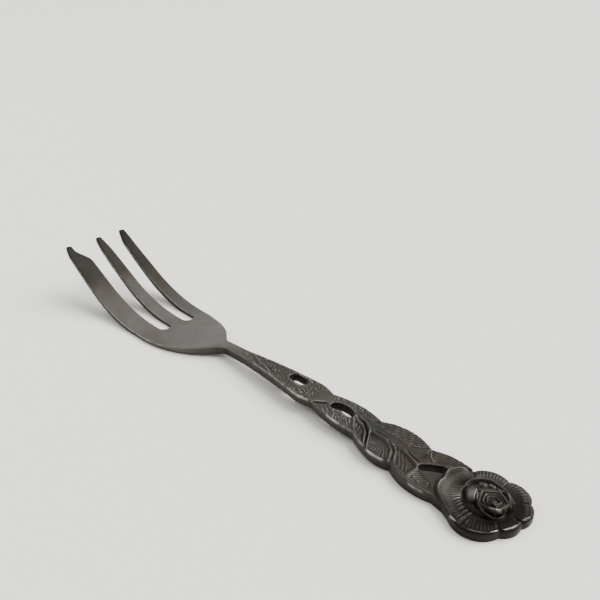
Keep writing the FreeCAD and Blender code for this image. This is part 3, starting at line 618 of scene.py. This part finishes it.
def open_petals(r, bearing, edge):
    """Dished petals with a rolled rim and fine ribs, which lap over each other at the folds."""
    towards_handle = smooth(bearing, -42, -28) * (1 - smooth(bearing, 62, 76))
    near_side = smooth(np.cos(np.radians(bearing - 110)), -0.3, 0.6)
    share = np.clip((r - 4.3) / (edge - 4.3), 0, 1.2)
    z = PETAL_HEIGHT + 0.36 * smooth(share, 0.25, 0.9)
    z += (0.08 + 0.12 * near_side) * bump(r - edge + 0.45, 0.45)
    z += towards_handle * (0.16 * smooth(r, 6.4, 7.8) + 0.24 * bump(r - edge + 0.3, 0.4))
    z -= 0.42 * (1 - near_side) * (1 - towards_handle) * smooth(r, edge - 1.7, edge)
    z -= 0.24 * near_side * (1 - towards_handle) * smooth(share, 0.45, 0.95)
    inside, width, _ = petal_place(bearing, FOLDS)
    lap = np.minimum(inside, 1 - inside) * width * np.radians(1) * r
    fold = 0.3 * bump(lap, 0.36) * smooth(r, 5.4, 7.4) * (1 - 0.6 * towards_handle)
    z -= fold * (1 - 0.85 * bump(bearing + 44, 14))
    z += 0.12 * smooth(inside, 0.0, 0.5) * smooth(r, 4.8, 6.5)
    ribs = np.cos(np.radians(bearing) * 70 + 0.6 * np.sin(r * 1.1))
    far_side = smooth(np.cos(np.radians(bearing + 95)), -0.1, 0.5)
    far_ribs = 0.04 * ribs * far_side * smooth(-bearing % 360, 43, 50)
    z += far_ribs * smooth(r, 6.3, 6.9) * (1 - smooth(r, edge - 0.4, edge - 0.1))
    z += 0.03 * ribs * near_side * smooth(r, 5.6, 6.2) * (1 - smooth(r, edge - 1.4, edge - 0.9))
    return z


def crimps_and_folds(z, xy, r, bearing):
    """Crimps beside the dome on the handle's side, then deeper folds on the near side."""
    for index, ends in enumerate(CRIMPS):
        stroke(z, xy, ends, 0.27, 0.08 + 0.014 * index, 0.4)
    for ends in FOLD_ROWS:
        stroke(z, xy, ends, 0.32, 0.22, 0.4)
    for turn in FOLD_BEARINGS:
        away = np.abs((bearing - turn + 180) % 360 - 180) * np.radians(1) * r
        z -= 0.12 * bump(away, 0.3) * smooth(r, 5.2, 5.6) * (1 - smooth(r, 6.8, 7.6))


def cup(z, xy, from_dome):
    """Low dome inside the cup, the cup's rim and the grooves beside it."""
    dome = PETAL_HEIGHT + DOME_RISE * np.sqrt(np.clip(1 - (from_dome / DOME_RADIUS) ** 2, 0, 1))
    z[:] = np.maximum(z, dome)
    stroke(z, xy, CUP_RIM, 0.52, 0.6, 0.2)
    stroke(z, xy, [(INNER_RIM * x, INNER_RIM * y) for x, y in CUP_RIM], 0.4, -0.3, 0.2)
    stroke(z, xy, CUP_GROOVE, 0.34, -0.34, 0.15)


def beaded_petals(z, xy):
    """Small petals with two beads each, in the band behind the heart."""
    for middle_x, middle_y, length, width, turn in BEADED:
        cosine, sine = math.cos(math.radians(turn)), math.sin(math.radians(turn))
        x, y = xy[:, 0] - middle_x, xy[:, 1] - middle_y
        u, v = x * cosine + y * sine, y * cosine - x * sine
        oval = np.sqrt((u / length) ** 2 + (v / width) ** 2)
        z += 0.26 * (1 - smooth(oval, 0.8, 1.1)) + 0.1 * bump(oval - 0.8, 0.28)
        z += 0.1 * bump(np.hypot(u - 0.25, v), 0.22) + 0.1 * bump(np.hypot(u + 0.25, v - 0.1), 0.22)


def outer_closed_petals(z, xy, from_dome):
    """A smooth petal on the handle's side, highest beside the heart, then the far and the near one."""
    x, y = xy[:, 0] - 1.8, xy[:, 1] - 1.0
    u, v = x * 0.75 + y * 0.66, y * 0.75 - x * 0.66
    across = np.sqrt((u / 1.25) ** 2 + (v / 1.95) ** 2)
    z += (0.62 - 0.16 * u - 0.13 * v) * (1 - smooth(across, 0.72, 1.02))
    z -= 0.18 * bump(across - 1.12, 0.14) * smooth(-from_dome, -4.4, -3.8)
    stroke(z, xy, FAR_PETAL, 0.42, 0.3, 0.25)
    depth = depth_inside(xy, NEAR_PETAL, 1.4)
    z += 0.34 * smooth(depth, -0.05, 0.25) + 0.14 * bump(depth - 0.28, 0.3) - 0.14 * bump(depth - 0.75, 0.3)


def pentagon(x, y, radius, turn):
    """Distance outside a ring of five petals with bowed sides."""
    step = 2 * math.pi / 5
    local = (np.arctan2(y, x) - math.radians(turn)) % step - step / 2
    side = math.cos(step / 2) / np.cos(local)
    return np.hypot(x, y) - radius * (0.8 * side + 0.2)


def heart(z, xy):
    """Rings of closed petals and the bud."""
    x, y = xy.T
    outer = pentagon(x + 1.75, y - 0.05, 2.95, -14)
    middle = pentagon(x + 1.85, y - 0.05, 2.2, -20)
    inner = pentagon(x + 1.95, y - 0.1, 1.55, -8)
    bud = np.hypot(x + 2.25, y - 0.5)
    body = HEART_HEIGHT + 0.17 * bump(outer + 0.24, 0.3) - 0.12 * bump(outer + 0.6, 0.24)
    body += 0.13 * bump(middle + 0.2, 0.28)
    body += 0.2 * bump(inner + 0.2, 0.28) - 0.12 * bump(inner - 0.16, 0.2) - 0.12 * smooth(-inner, 0.3, 0.6)
    body += BUD_RISE * np.sqrt(np.clip(1 - (bud / BUD_RADIUS) ** 2, 0, 1))
    stroke(body, xy, CRESCENT, 0.36, 0.3, 0.3)
    share = 1 - smooth(outer, -0.05, 0.4)
    z[:] = z * (1 - share) + body * share
    z -= 0.12 * bump(outer - 0.55, 0.3)


def rose_height(xy):
    """The rose's upper side above the table, and how much of it applies here."""
    x, y = xy.T
    r = np.hypot(x, y)
    bearing = np.degrees(np.arctan2(y, x))
    edge = rim_radius(bearing)
    from_dome = np.hypot(x - DOME_X, y - DOME_Y)
    z = open_petals(r, bearing, edge)
    crimps_and_folds(z, xy, r, bearing)
    cup(z, xy, from_dome)
    beaded_petals(z, xy)
    outer_closed_petals(z, xy, from_dome)
    heart(z, xy)
    return z, 1 - smooth(r, edge - 0.02, edge + 0.35)


# The mesh

# Distance between its points with the stretch along x: fine on the carving, coarse on bowl and tines
FINE = 0.128
TOP_BANDS = ((FINE, -9.0, 46.0), (FINE * 1.4, 46.0, 68.0), (0.32, 68.0, 79.0), (0.55, 79.0, TIP_X))
UNDER_BANDS = ((0.9, -9, TIP_X),)
# The rows reach this far to each side
GRID_REACH = 12.5
# Rows of points beside the edges, at these distances from them
TOP_RINGS = (0.04, 0.11, 0.22)
UNDER_RINGS = (0.05, 0.16, 0.42)
# Rows of points on the walls, as shares of the way down
WALL_ROWS = (0.3, 0.65)
# Radii of the edges: above on handle and head, what is added at the tips, below, and by the slots
TOP_ROUND = 0.2
HEAD_ROUND = 0.09
TIP_ROUND = 0.2
UNDER_ROUND = 0.2
HEAD_UNDER_ROUND = 0.42
SLOT_UNDER_ROUND = 0.1
# By a slot means this near to its middle line
SLOT_REACH = 2.9
# How much deeper the tines are below than the side view says
TINE_DEPTH = 0.25


def inside_loops(xy, loops):
    """Even-odd test of points against closed loops."""
    hit = np.zeros(len(xy), bool)
    x, y = xy.T
    for loop in loops:
        for (ax, ay), (bx, by) in zip(loop, np.roll(loop, -1, axis=0)):
            if ay == by:
                continue
            crosses = (ay > y) != (by > y)
            hit[crosses] ^= x[crosses] < (bx - ax) * (y[crosses] - ay) / (by - ay) + ax
    return hit


# How many edges are tried, and how far from them the distance to their middles will do
NEAREST_EDGES = 3
WELL_INSIDE = 3


def edge_distance(xy, loops):
    """Distance from each point to the outline or a hole's edge, by the edges whose middles are nearest."""
    a = np.concatenate(loops)
    b = np.concatenate([np.roll(loop, -1, axis=0) for loop in loops])
    tree = kdtree.KDTree(len(a))
    for index, (p, q) in enumerate(zip(a, b)):
        tree.insert(((p[0] + q[0]) / 2, (p[1] + q[1]) / 2, 0), index)
    tree.balance()
    out = np.empty(len(xy))
    for row, (px, py) in enumerate(xy):
        best = 1e9
        for _, index, gap in tree.find_n((px, py, 0), NEAREST_EDGES):
            if gap > WELL_INSIDE:
                best = min(best, gap)
                continue
            ax, ay = a[index]
            bx, by = b[index]
            lx, ly = bx - ax, by - ay
            t = ((px - ax) * lx + (py - ay) * ly) / (lx * lx + ly * ly)
            t = min(1, max(0, t))
            best = min(best, math.hypot(px - ax - t * lx, py - ay - t * ly))
        out[row] = best
    return out


def grid_points(spacing, low_x, high_x):
    """Rows of points with every second row shifted by half a step."""
    row_step = spacing * math.sqrt(3) / 2
    x, y = np.meshgrid(np.arange(low_x, high_x, spacing), np.arange(-GRID_REACH, GRID_REACH, row_step))
    x[1::2] += spacing / 2
    return np.stack([x.ravel(), y.ravel()], 1)


def inset_rings(loops, offsets):
    """Points inside the outline at fixed distances from it."""
    rings = []
    for loop in loops:
        ahead = np.roll(loop, -1, axis=0) - loop
        back = loop - np.roll(loop, 1, axis=0)
        normal = np.stack([-(ahead[:, 1] + back[:, 1]), ahead[:, 0] + back[:, 0]], 1)
        normal /= np.linalg.norm(normal, axis=1)[:, None] + 1e-12
        rings += [(loop + normal * offset, offset) for offset in offsets]
    return rings


def sheet_of_points(loops, bands, offsets):
    """Triangulates the outline with its holes: plan points, triangles, gap to the edge, rings of points."""
    parts, gaps = list(loops), [np.zeros(len(loop)) for loop in loops]
    # Points nearer to an edge than their own row, and grid points close to the last row, are left out
    found = [(ring, 0.93 * offset) for ring, offset in inset_rings(loops, offsets)]
    found += [(grid_points(*band), offsets[-1] + 0.45 * band[0]) for band in bands]
    for points, least in found:
        points = points[inside_loops(points, loops)]
        gap = edge_distance(points, loops)
        parts.append(points[gap > least])
        gaps.append(gap[gap > least])
    xy, gap = np.concatenate(parts), np.concatenate(gaps)
    edges, borders, start = [], [], 0
    for loop in loops:
        border = list(range(start, start + len(loop)))
        borders.append(border)
        edges += zip(border, border[1:] + border[:1])
        start += len(loop)
    out = delaunay_2d_cdt([Vector(p) for p in xy], edges, [], 0, 1e-7)
    points, triangles = np.array([tuple(p) for p in out[0]]), np.array(out[2])
    source = np.array([ids[0] if ids else -1 for ids in out[3]])
    gap = np.where(source >= 0, gap[source], 0.0)
    lookup = {int(s): i for i, s in enumerate(source) if s >= 0}
    rings = [[lookup[index] for index in border] for border in borders]
    centres = points[triangles].mean(1)
    return points, triangles[inside_loops(centres, [points[ring] for ring in rings])], gap, rings


def rounding(gap, radius):
    """How far a rounded edge has dropped at this distance from it."""
    inner = np.clip(1 - gap / radius, 0, 1)
    return radius * (1 - np.sqrt(1 - inner ** 2))


# Wear and painted highlights

# Stretches of the near edge made bright, partly worn silver, partly a painted highlight: from, to, how bright
WORN_AND_HIGHLIT_STRETCHES = (
    (8.8, 12.2, 0.4), (19.3, 23.4, 0.9), (24.4, 30.3, 0.3), (30.5, 32.2, 0.3), (32.2, 36, 1),
    (42.4, 46, 1), (45.4, 48.8, 0.6), (49.5, 62, 0.3), (64, 69, 0.25), (88, 90, 0.5),
    (92, 98, 0.5), (99, 112, 0.45), (112, 131, 0.35),
)
# Painted highlights on the rose, partly polished silver: points, width, how bright
PAINTED_HIGHLIGHTS = (
    (((2, 7.85), (1.2, 8.15), (0.3, 8.35)), 0.18, 0.45),
    (((-1.9, 8.4), (-3.4, 7.8), (-4.6, 6.9)), 0.2, 0.08),
    (((-5.1, 6.2), (-5.9, 4.9)), 0.2, 0.45),
    (((-6.45, 4), (-7.15, 2.55), (-7.45, 1.3)), 0.24, 0.5),
    (((-7.5, -0.3), (-8, -2.1)), 0.22, 0.35),
    (CRESCENT, 0.24, 0.28),
    (((2.4, 0.3), (1.9, 1.2), (1.5, 2.1)), 0.9, 0.1),
    (CRIMPS[4], 0.18, 0.03),
    (CRIMPS[5], 0.2, 0.08),
    (CRIMPS[6], 0.2, 0.1),
)


def worn_and_highlit_edges(xy, gap):
    """How bright the top edges on the cutting side are made: tarnish rubbed off together with a painted
    highlight where they catch the light, and the rose's painted highlights.
    """
    x, y = xy.T
    near = np.where(x < 78, smooth(y, 1.0, 2.2), 1.0)
    near = np.where((x > 78) & (x < 98), smooth(y, 2.5, 4.5), near)
    # On the tines only the edges on the cutting side catch the light
    local = np.where(y > 4, y - 7.8, np.where(y > -3.8, y, y + 7.6))
    near = np.where(x > 98, smooth(local, 0.2, 0.9), near)
    bright = np.zeros(len(xy))
    for low, high, share in WORN_AND_HIGHLIT_STRETCHES:
        stretch = smooth(x, low - 0.4, low + 0.6) * (1 - smooth(x, high - 0.6, high + 0.4))
        bright = np.maximum(bright, share * stretch)
    reach = np.where(x < 78, 0.2, 0.12)
    bright *= near * smooth(gap, -0.02, 0.04) * (1 - smooth(gap, 0.05, reach))
    bright *= 0.75 + 0.25 * np.sin(2.3 * x + 1.1 * np.sin(0.7 * x))
    for points, width, share in PAINTED_HIGHLIGHTS:
        stroke(bright, xy, points, width, share)
    return np.clip(bright, 0, 1)


# The fork

def upper_points(xy, gap):
    """Carved upper side with rounded edges."""
    x = xy[:, 0]
    rose, share = rose_height(xy)
    calm = smooth(gap, 0.0, 0.35)
    height = top_height(x) + handle_relief(xy) * (0.35 + 0.65 * calm)
    height = height * (1 - share) + rose * share
    radius = HEAD_ROUND + (TOP_ROUND - HEAD_ROUND) * (1 - smooth(x, 66, 80))
    radius += TIP_ROUND * smooth(x, 110, 128)
    return np.column_stack([xy, height - rounding(gap, radius)])


def lower_points(xy, gap):
    """Plain underside with rounded edges, which are sharper in the slots between the tines."""
    x = xy[:, 0]
    by_slot = smooth(x, 90, 94) * (np.abs(np.abs(xy[:, 1]) - SLOT_Y) < SLOT_REACH)
    radius = UNDER_ROUND + (HEAD_UNDER_ROUND - UNDER_ROUND) * smooth(x, 66, 80)
    radius = radius * (1 - by_slot) + SLOT_UNDER_ROUND * by_slot
    deeper = TINE_DEPTH * smooth(x, 98, 104) * (1 - 0.4 * smooth(x, 118, 132))
    height = np.maximum(under_height(x) - deeper, 0) + rounding(gap, radius)
    return np.column_stack([xy, height])


def side_walls(top, under, rings, low_rings):
    """Rows of points between each edge above and the same edge below, and the faces that join them."""
    count = len(top) + len(under)
    points, faces = [], []
    for ring, low_ring in zip(rings, low_rings):
        high, low = top[ring], under[low_ring]
        rows = [np.array(ring)]
        for level in WALL_ROWS:
            points.append(high * (1 - level) + low * level)
            rows.append(np.arange(count, count + len(ring)))
            count += len(ring)
        rows.append(np.array(low_ring) + len(top))
        for row, lower_row in zip(rows, rows[1:]):
            next_upper, next_lower = np.roll(row, -1), np.roll(lower_row, -1)
            faces.append(np.column_stack([row, lower_row, next_lower]))
            faces.append(np.column_stack([row, next_lower, next_upper]))
    return points, faces


def anticlockwise(loop):
    ahead = np.roll(loop, -1, axis=0)
    area = np.sum(loop[:, 0] * ahead[:, 1] - loop[:, 1] * ahead[:, 0])
    return loop if area > 0 else loop[::-1]


def build_fork():
    """Vertices in plan millimetres and faces, then for each vertex its wear, its side and its brightening:
    rubbed edges with painted highlights.
    """
    loops = [anticlockwise(outline())] + [anticlockwise(slot_loop(*hole))[::-1] for hole in HOLES]
    xy, triangles, gap, rings = sheet_of_points(loops, TOP_BANDS, TOP_RINGS)
    low_xy, low_triangles, low_gap, low_rings = sheet_of_points(loops, UNDER_BANDS, UNDER_RINGS)
    top, under = upper_points(xy, gap), lower_points(low_xy, low_gap)
    wall_points, wall_faces = side_walls(top, under, rings, low_rings)
    vertices = np.concatenate([top, under] + wall_points)
    faces = np.concatenate([triangles, low_triangles[:, ::-1] + len(top)] + wall_faces)
    nothing_below_top = np.zeros(len(vertices) - len(top))
    wear = np.concatenate([smooth(gap, 0.0, 0.5), nothing_below_top])
    bright = np.concatenate([worn_and_highlit_edges(xy, gap), nothing_below_top])
    return vertices, faces, wear, np.arange(len(vertices)) < len(top), bright


def hollowness(vertices, faces):
    """How far each vertex lies below the average of what is round it."""
    edges = np.concatenate([faces[:, [0, 1]], faces[:, [1, 2]], faces[:, [2, 0]]])
    count = len(vertices)
    degree = np.bincount(edges.ravel(), minlength=count)
    z = vertices[:, 2].copy()
    for _ in range(HOLLOW_ROUNDS):
        total = np.bincount(edges[:, 0], weights=z[edges[:, 1]], minlength=count)
        total += np.bincount(edges[:, 1], weights=z[edges[:, 0]], minlength=count)
        z = total / np.maximum(degree, 1)
    return z - vertices[:, 2]


def add_object(name, data):
    obj = bpy.data.objects.new(name, data)
    bpy.context.scene.collection.objects.link(obj)
    return obj


def add_mesh(name, points, faces, is_smooth):
    """A mesh object in metres, shaded smooth or flat."""
    mesh = bpy.data.meshes.new(name)
    mesh.from_pydata(points, [], faces)
    mesh.polygons.foreach_set("use_smooth", [is_smooth] * len(mesh.polygons))
    mesh.update()
    return add_object(name, mesh)


# Hollows, stains, wear, painted shade and painted highlights, as values at the mesh's points

HOLLOW_ROUNDS = 14
HOLLOW_DEPTH = 0.5
SMOOTH_PETAL = (1.9, 1)
HEART_MIDDLE = (-1.9, 0)
BESIDE_PETAL = (6.3, -1.6)
# Spots of colour: x, y, radius, strength
VERDIGRIS_SPOTS = ((42.5, -0.9, 2.2, 0.7), (25.6, -2.4, 2.2, 0.6), (-2.2, 0.4, 3.6, 0.2),
                   (114, 8.2, 4, 0.25))
RUST_SPOTS = ((16.5, 0.9, 4, 0.35), (11.5, -3.6, 3.6, 0.3), (13.6, -2.2, 2.6, 0.55), (3.6, -2.2, 1.5, 0.6),
              (-6.3, 3.4, 1.6, 0.4), (110, 8.6, 4, 0.2), (121, 0, 5, 0.15),
              (118, -7, 6, 0.15), (19.2, -2.6, 3, 0.5))


def hollow_values(vertices, faces, wear):
    """0.5 on an even surface, more in hollows and less on ridges; lower on the smooth petal, as a painted
    highlight, and lower in the heart's middle.
    """
    hollow = hollowness(vertices, faces) * (1 - smooth(vertices[:, 0], 62, 70))
    # The smooth petal is made lighter as a painted highlight; the heart's middle is made lighter too
    lightened = 0.2 * spot(vertices, SMOOTH_PETAL, 2.0) + 0.16 * spot(vertices, HEART_MIDDLE, 2.8)
    return np.clip(0.5 + hollow * wear / HOLLOW_DEPTH - lightened, 0, 1)


def patina_and_shade_values(vertices, on_top):
    """How dark the colour is made: on top mostly on the tarnished handle and towards the tips, with painted
    shade on the rose's near side; on the walls and underside almost all over, partly tarnish and partly
    painted shade where the edges meet the table.
    """
    x, y = vertices[:, 0], vertices[:, 1]
    on_rose = 1 - smooth(x, 4, 9)
    on_leaves = 1 - smooth(x, 26, 36)
    on_guard = 1 - smooth(y, -7, -3.5)
    top = 0.6 * (1 - smooth(x, 61, 80)) + 0.2 * on_leaves + 0.04 * on_rose
    # Painted shade: the rose's near side is darker
    top += 0.12 * on_rose * smooth(0.5 * y - 0.7 * x, -3.5, 2.5)
    top += 0.04 * smooth(x, 74, 82) + 0.15 * spot(vertices, BESIDE_PETAL, 4.5)
    # Painted highlight: the smooth petal is left lighter
    top -= 0.1 * spot(vertices, SMOOTH_PETAL, 2.2)
    # Darker towards the tips of the tines
    top += 0.85 * smooth(x, 99, 125) * (1 - on_guard) + 0.88 * smooth(x, 90, 123) * on_guard
    # Walls and underside: partly darker tarnish on the sides, partly painted shade, the dark line where the
    # rounded underside meets the table
    sides_and_painted_shade = 0.83 + 0.09 * on_rose - 0.06 * smooth(x, 118, 130) + 0.13 * smooth(x, 94, 99)
    sides_and_painted_shade -= 0.26 * bump(x - 85, 13)
    return np.where(on_top, top, sides_and_painted_shade)


def spot_values(vertices, spots):
    amount = np.zeros(len(vertices))
    for x, y, radius, strength in spots:
        amount = np.maximum(amount, strength * spot(vertices, (x, y), radius))
    return amount


# Materials

def add_node(tree, kind, **settings):
    node = tree.nodes.new(kind)
    for key, value in settings.items():
        setattr(node, key, value)
    return node


def noise(tree, coordinates, scale, detail, roughness=0.5):
    node = add_node(tree, "ShaderNodeTexNoise")
    for name, value in (("Scale", scale), ("Detail", detail), ("Roughness", roughness)):
        node.inputs[name].default_value = value
    tree.links.new(coordinates, node.inputs["Vector"])
    return node.outputs["Fac"]


def ramp(tree, value, stops):
    node = add_node(tree, "ShaderNodeValToRGB")
    elements = node.color_ramp.elements
    elements[0].position, elements[0].color = stops[0][0], (*stops[0][1], 1)
    elements[1].position, elements[1].color = stops[-1][0], (*stops[-1][1], 1)
    for position, colour in stops[1:-1]:
        elements.new(position).color = (*colour, 1)
    tree.links.new(value, node.inputs["Fac"])
    return node.outputs["Color"]


def mixed(tree, factor, a, b, blend="MIX"):
    node = add_node(tree, "ShaderNodeMix", data_type="RGBA", blend_type=blend)
    for socket, value in ((node.inputs[0], factor), (node.inputs[6], a), (node.inputs[7], b)):
        if isinstance(value, bpy.types.NodeSocket):
            tree.links.new(value, socket)
        else:
            socket.default_value = value
    return node.outputs[2]


def stored(tree, name):
    return add_node(tree, "ShaderNodeAttribute", attribute_name=name).outputs["Fac"]


BLACK = (0, 0, 0)
WHITE = (1, 1, 1)
BROWN_TARNISH = (0.15, 0.128, 0.117)
PALE_TARNISH = (0.19, 0.178, 0.163)
GREY_TARNISH = (0.16, 0.157, 0.15)
OLIVE_TARNISH = (0.14, 0.137, 0.104, 1)
VERDIGRIS = (0.125, 0.155, 0.105, 1)
RUST = (0.19, 0.125, 0.09, 1)
SOOT = (0.03, 0.026, 0.022, 1)
RUBBED_RIDGE = (0.36, 0.345, 0.325, 1)
PATINA_AND_SHADE = (0.05, 0.045, 0.04, 1)
WORN_SILVER_AND_HIGHLIGHT = (0.78, 0.76, 0.72, 1)
# Scales of the noise: clouds of tarnish, olive patches, fine grain
CLOUD_SCALE = 75.0
PATCH_SCALE = 190.0
GRAIN_SCALE = 900.0
GRAIN_HEIGHT = 0.2 * MM
GRAIN_STRENGTH = 0.12


def tarnished_silver():
    """Old silver alloy: uneven brown-grey tarnish, dark in the hollows, polished on the ridges, with painted
    shade on the walls and underside and painted highlights on the near edges and the rose.
    """
    material = bpy.data.materials.new("tarnished_silver")
    material.use_nodes = True
    tree = material.node_tree
    shader = tree.nodes["Principled BSDF"]
    shader.inputs["Metallic"].default_value = 1.0
    place = add_node(tree, "ShaderNodeTexCoord").outputs["Object"]
    clouds = noise(tree, place, CLOUD_SCALE, 3.0)
    colour = ramp(tree, clouds, ((0.32, BROWN_TARNISH), (0.5, PALE_TARNISH), (0.66, GREY_TARNISH)))
    patches = ramp(tree, noise(tree, place, PATCH_SCALE, 2.0), ((0.55, BLACK), (0.72, (0.5, 0.5, 0.5))))
    colour = mixed(tree, patches, colour, OLIVE_TARNISH)
    colour = mixed(tree, stored(tree, "verdigris"), colour, VERDIGRIS)
    colour = mixed(tree, stored(tree, "rust"), colour, RUST)
    hollow = stored(tree, "hollow")
    colour = mixed(tree, ramp(tree, hollow, ((0.53, BLACK), (0.88, WHITE))), colour, SOOT)
    colour = mixed(tree, ramp(tree, hollow, ((0.25, WHITE), (0.43, BLACK))), colour, RUBBED_RIDGE)
    # Darkening: tarnish, with painted shade on the walls, the underside and the rose's near side
    colour = mixed(tree, stored(tree, "patina_and_shade"), colour, PATINA_AND_SHADE, "MULTIPLY")
    # Painted highlights, partly worn silver: the near edges and the rose's rim made bright
    colour = mixed(tree, stored(tree, "worn_and_highlight"), colour, WORN_SILVER_AND_HIGHLIGHT)
    tree.links.new(colour, shader.inputs["Base Color"])
    specks = noise(tree, place, GRAIN_SCALE, 4.0, 0.6)
    rough = ramp(tree, specks, ((0.3, (0.4, 0.4, 0.4)), (0.75, (0.56, 0.56, 0.56))))
    tree.links.new(rough, shader.inputs["Roughness"])
    relief = add_node(tree, "ShaderNodeBump")
    relief.inputs["Strength"].default_value = GRAIN_STRENGTH
    relief.inputs["Distance"].default_value = GRAIN_HEIGHT
    tree.links.new(specks, relief.inputs["Height"])
    tree.links.new(relief.outputs["Normal"], shader.inputs["Normal"])
    return material


# The table

FLOOR = 25.0
BOARD_COLOUR = (0.918, 0.903, 0.86, 1)
BOARD_ROUGHNESS = 0.9


def make_table():
    corners = [(-FLOOR, -FLOOR, 0), (FLOOR, -FLOOR, 0), (FLOOR, FLOOR, 0), (-FLOOR, FLOOR, 0)]
    obj = add_mesh("table", corners, [(0, 1, 2, 3)], False)
    material = bpy.data.materials.new("pale_table")
    material.use_nodes = True
    shader = material.node_tree.nodes["Principled BSDF"]
    shader.inputs["Base Color"].default_value = BOARD_COLOUR
    shader.inputs["Roughness"].default_value = BOARD_ROUGHNESS
    obj.data.materials.append(material)
    return obj


# Light: a wide soft sun, a small lamp on the left and a pale sky

SUN_WAY = Vector((0.5, 0.9, -1.1))
SUN_POWER = 5.3
SUN_WIDTH = math.radians(52)
SUN_COLOUR = (1, 0.99, 0.97)
LAMP_PLACE = Vector((0.64, 0.5, 0.63))
LAMP_SIZE = 0.25
LAMP_POWER = 1.6
SKY_STRENGTH = 1.4
# Colour of the sky by height, from the horizon to overhead
SKY_GLOW = ((0, (0.78, 0.775, 0.76)), (0.42, (0.62, 0.62, 0.61)), (0.62, (0.4, 0.4, 0.4)), (1, WHITE))
# Less light comes from the near side, where the shadows fall
SKY_SHARE = ((0, WHITE), (0.5, (0.66, 0.66, 0.66)))


def add_light(name, kind, way, **settings):
    """A light that shines along a direction."""
    data = bpy.data.lights.new(name, kind)
    for key, value in settings.items():
        setattr(data, key, value)
    light = add_object(name, data)
    light.rotation_euler = way.to_track_quat("-Z", "Y").to_euler()
    return light


def studio_sky():
    world = bpy.data.worlds.new("studio")
    world.use_nodes = True
    tree = world.node_tree
    direction = add_node(tree, "ShaderNodeTexCoord").outputs["Generated"]
    parts = add_node(tree, "ShaderNodeSeparateXYZ")
    tree.links.new(direction, parts.inputs[0])
    glow = ramp(tree, parts.outputs["Z"], SKY_GLOW)
    glow = mixed(tree, 1.0, glow, ramp(tree, parts.outputs["Y"], SKY_SHARE), "MULTIPLY")
    tree.links.new(glow, tree.nodes["Background"].inputs["Color"])
    tree.nodes["Background"].inputs["Strength"].default_value = SKY_STRENGTH
    bpy.context.scene.world = world


# Camera at the photograph's place: position in plan millimetres, then where it looks

CAMERA_PLACE = np.array([-44.066461, 89.656903, 87.833620])
CAMERA_YAW = -0.7721216
CAMERA_PITCH = 0.4550563
CAMERA_ROLL = 0.0073780
FOCAL_PIXELS = 676.0789
PHOTO_PIXELS = 600
SENSOR = 36.0
NEAREST_SEEN = 0.005


def photo_camera(shift):
    ahead = math.cos(CAMERA_PITCH)
    look = Vector((ahead * math.cos(CAMERA_YAW), ahead * math.sin(CAMERA_YAW), -math.sin(CAMERA_PITCH)))
    level = look.cross(Vector((0, 0, 1))).normalized()
    upright = level.cross(look)
    right = math.cos(CAMERA_ROLL) * level + math.sin(CAMERA_ROLL) * upright
    up = math.cos(CAMERA_ROLL) * upright - math.sin(CAMERA_ROLL) * level
    data = bpy.data.cameras.new("photo_camera")
    data.sensor_width = SENSOR
    data.lens = FOCAL_PIXELS * SENSOR / PHOTO_PIXELS
    data.clip_start = NEAREST_SEEN
    camera = add_object("photo_camera", data)
    turn = Matrix((right, up, -look)).transposed()
    camera.matrix_world = Matrix.Translation(Vector((CAMERA_PLACE + shift) * MM)) @ turn.to_4x4()
    bpy.context.scene.camera = camera


# Build

node_low, node_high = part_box("cake_fork")
shift = np.array([node_high[0] / MM - TIP_X, node_high[1] / MM - CUTTING_EDGE - TINE_BELLY, 0.0])
vertices, faces, wear, on_top, bright = build_fork()
fork = add_mesh("fork_metal", ((vertices + shift) * MM).tolist(), faces.tolist(), True)
# The material reads these values by their names
values_by_name = {
    "hollow": hollow_values(vertices, faces, wear),
    "patina_and_shade": patina_and_shade_values(vertices, on_top),
    # Bright edges: worn silver with painted highlights
    "worn_and_highlight": bright,
    "verdigris": spot_values(vertices, VERDIGRIS_SPOTS),
    "rust": spot_values(vertices, RUST_SPOTS),
}
for name, values in values_by_name.items():
    fork.data.attributes.new(name, "FLOAT", "POINT").data.foreach_set("value", values)
fork.data.materials.append(tarnished_silver())
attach(fork, "root")
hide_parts("cake_fork")

table = make_table()

add_light("soft_key", "SUN", SUN_WAY, energy=SUN_POWER, angle=SUN_WIDTH, color=SUN_COLOUR)
lamp = add_light("left_fill", "AREA", -LAMP_PLACE, shape="DISK", size=LAMP_SIZE, energy=LAMP_POWER)
lamp.location = LAMP_PLACE
studio_sky()
photo_camera(shift)
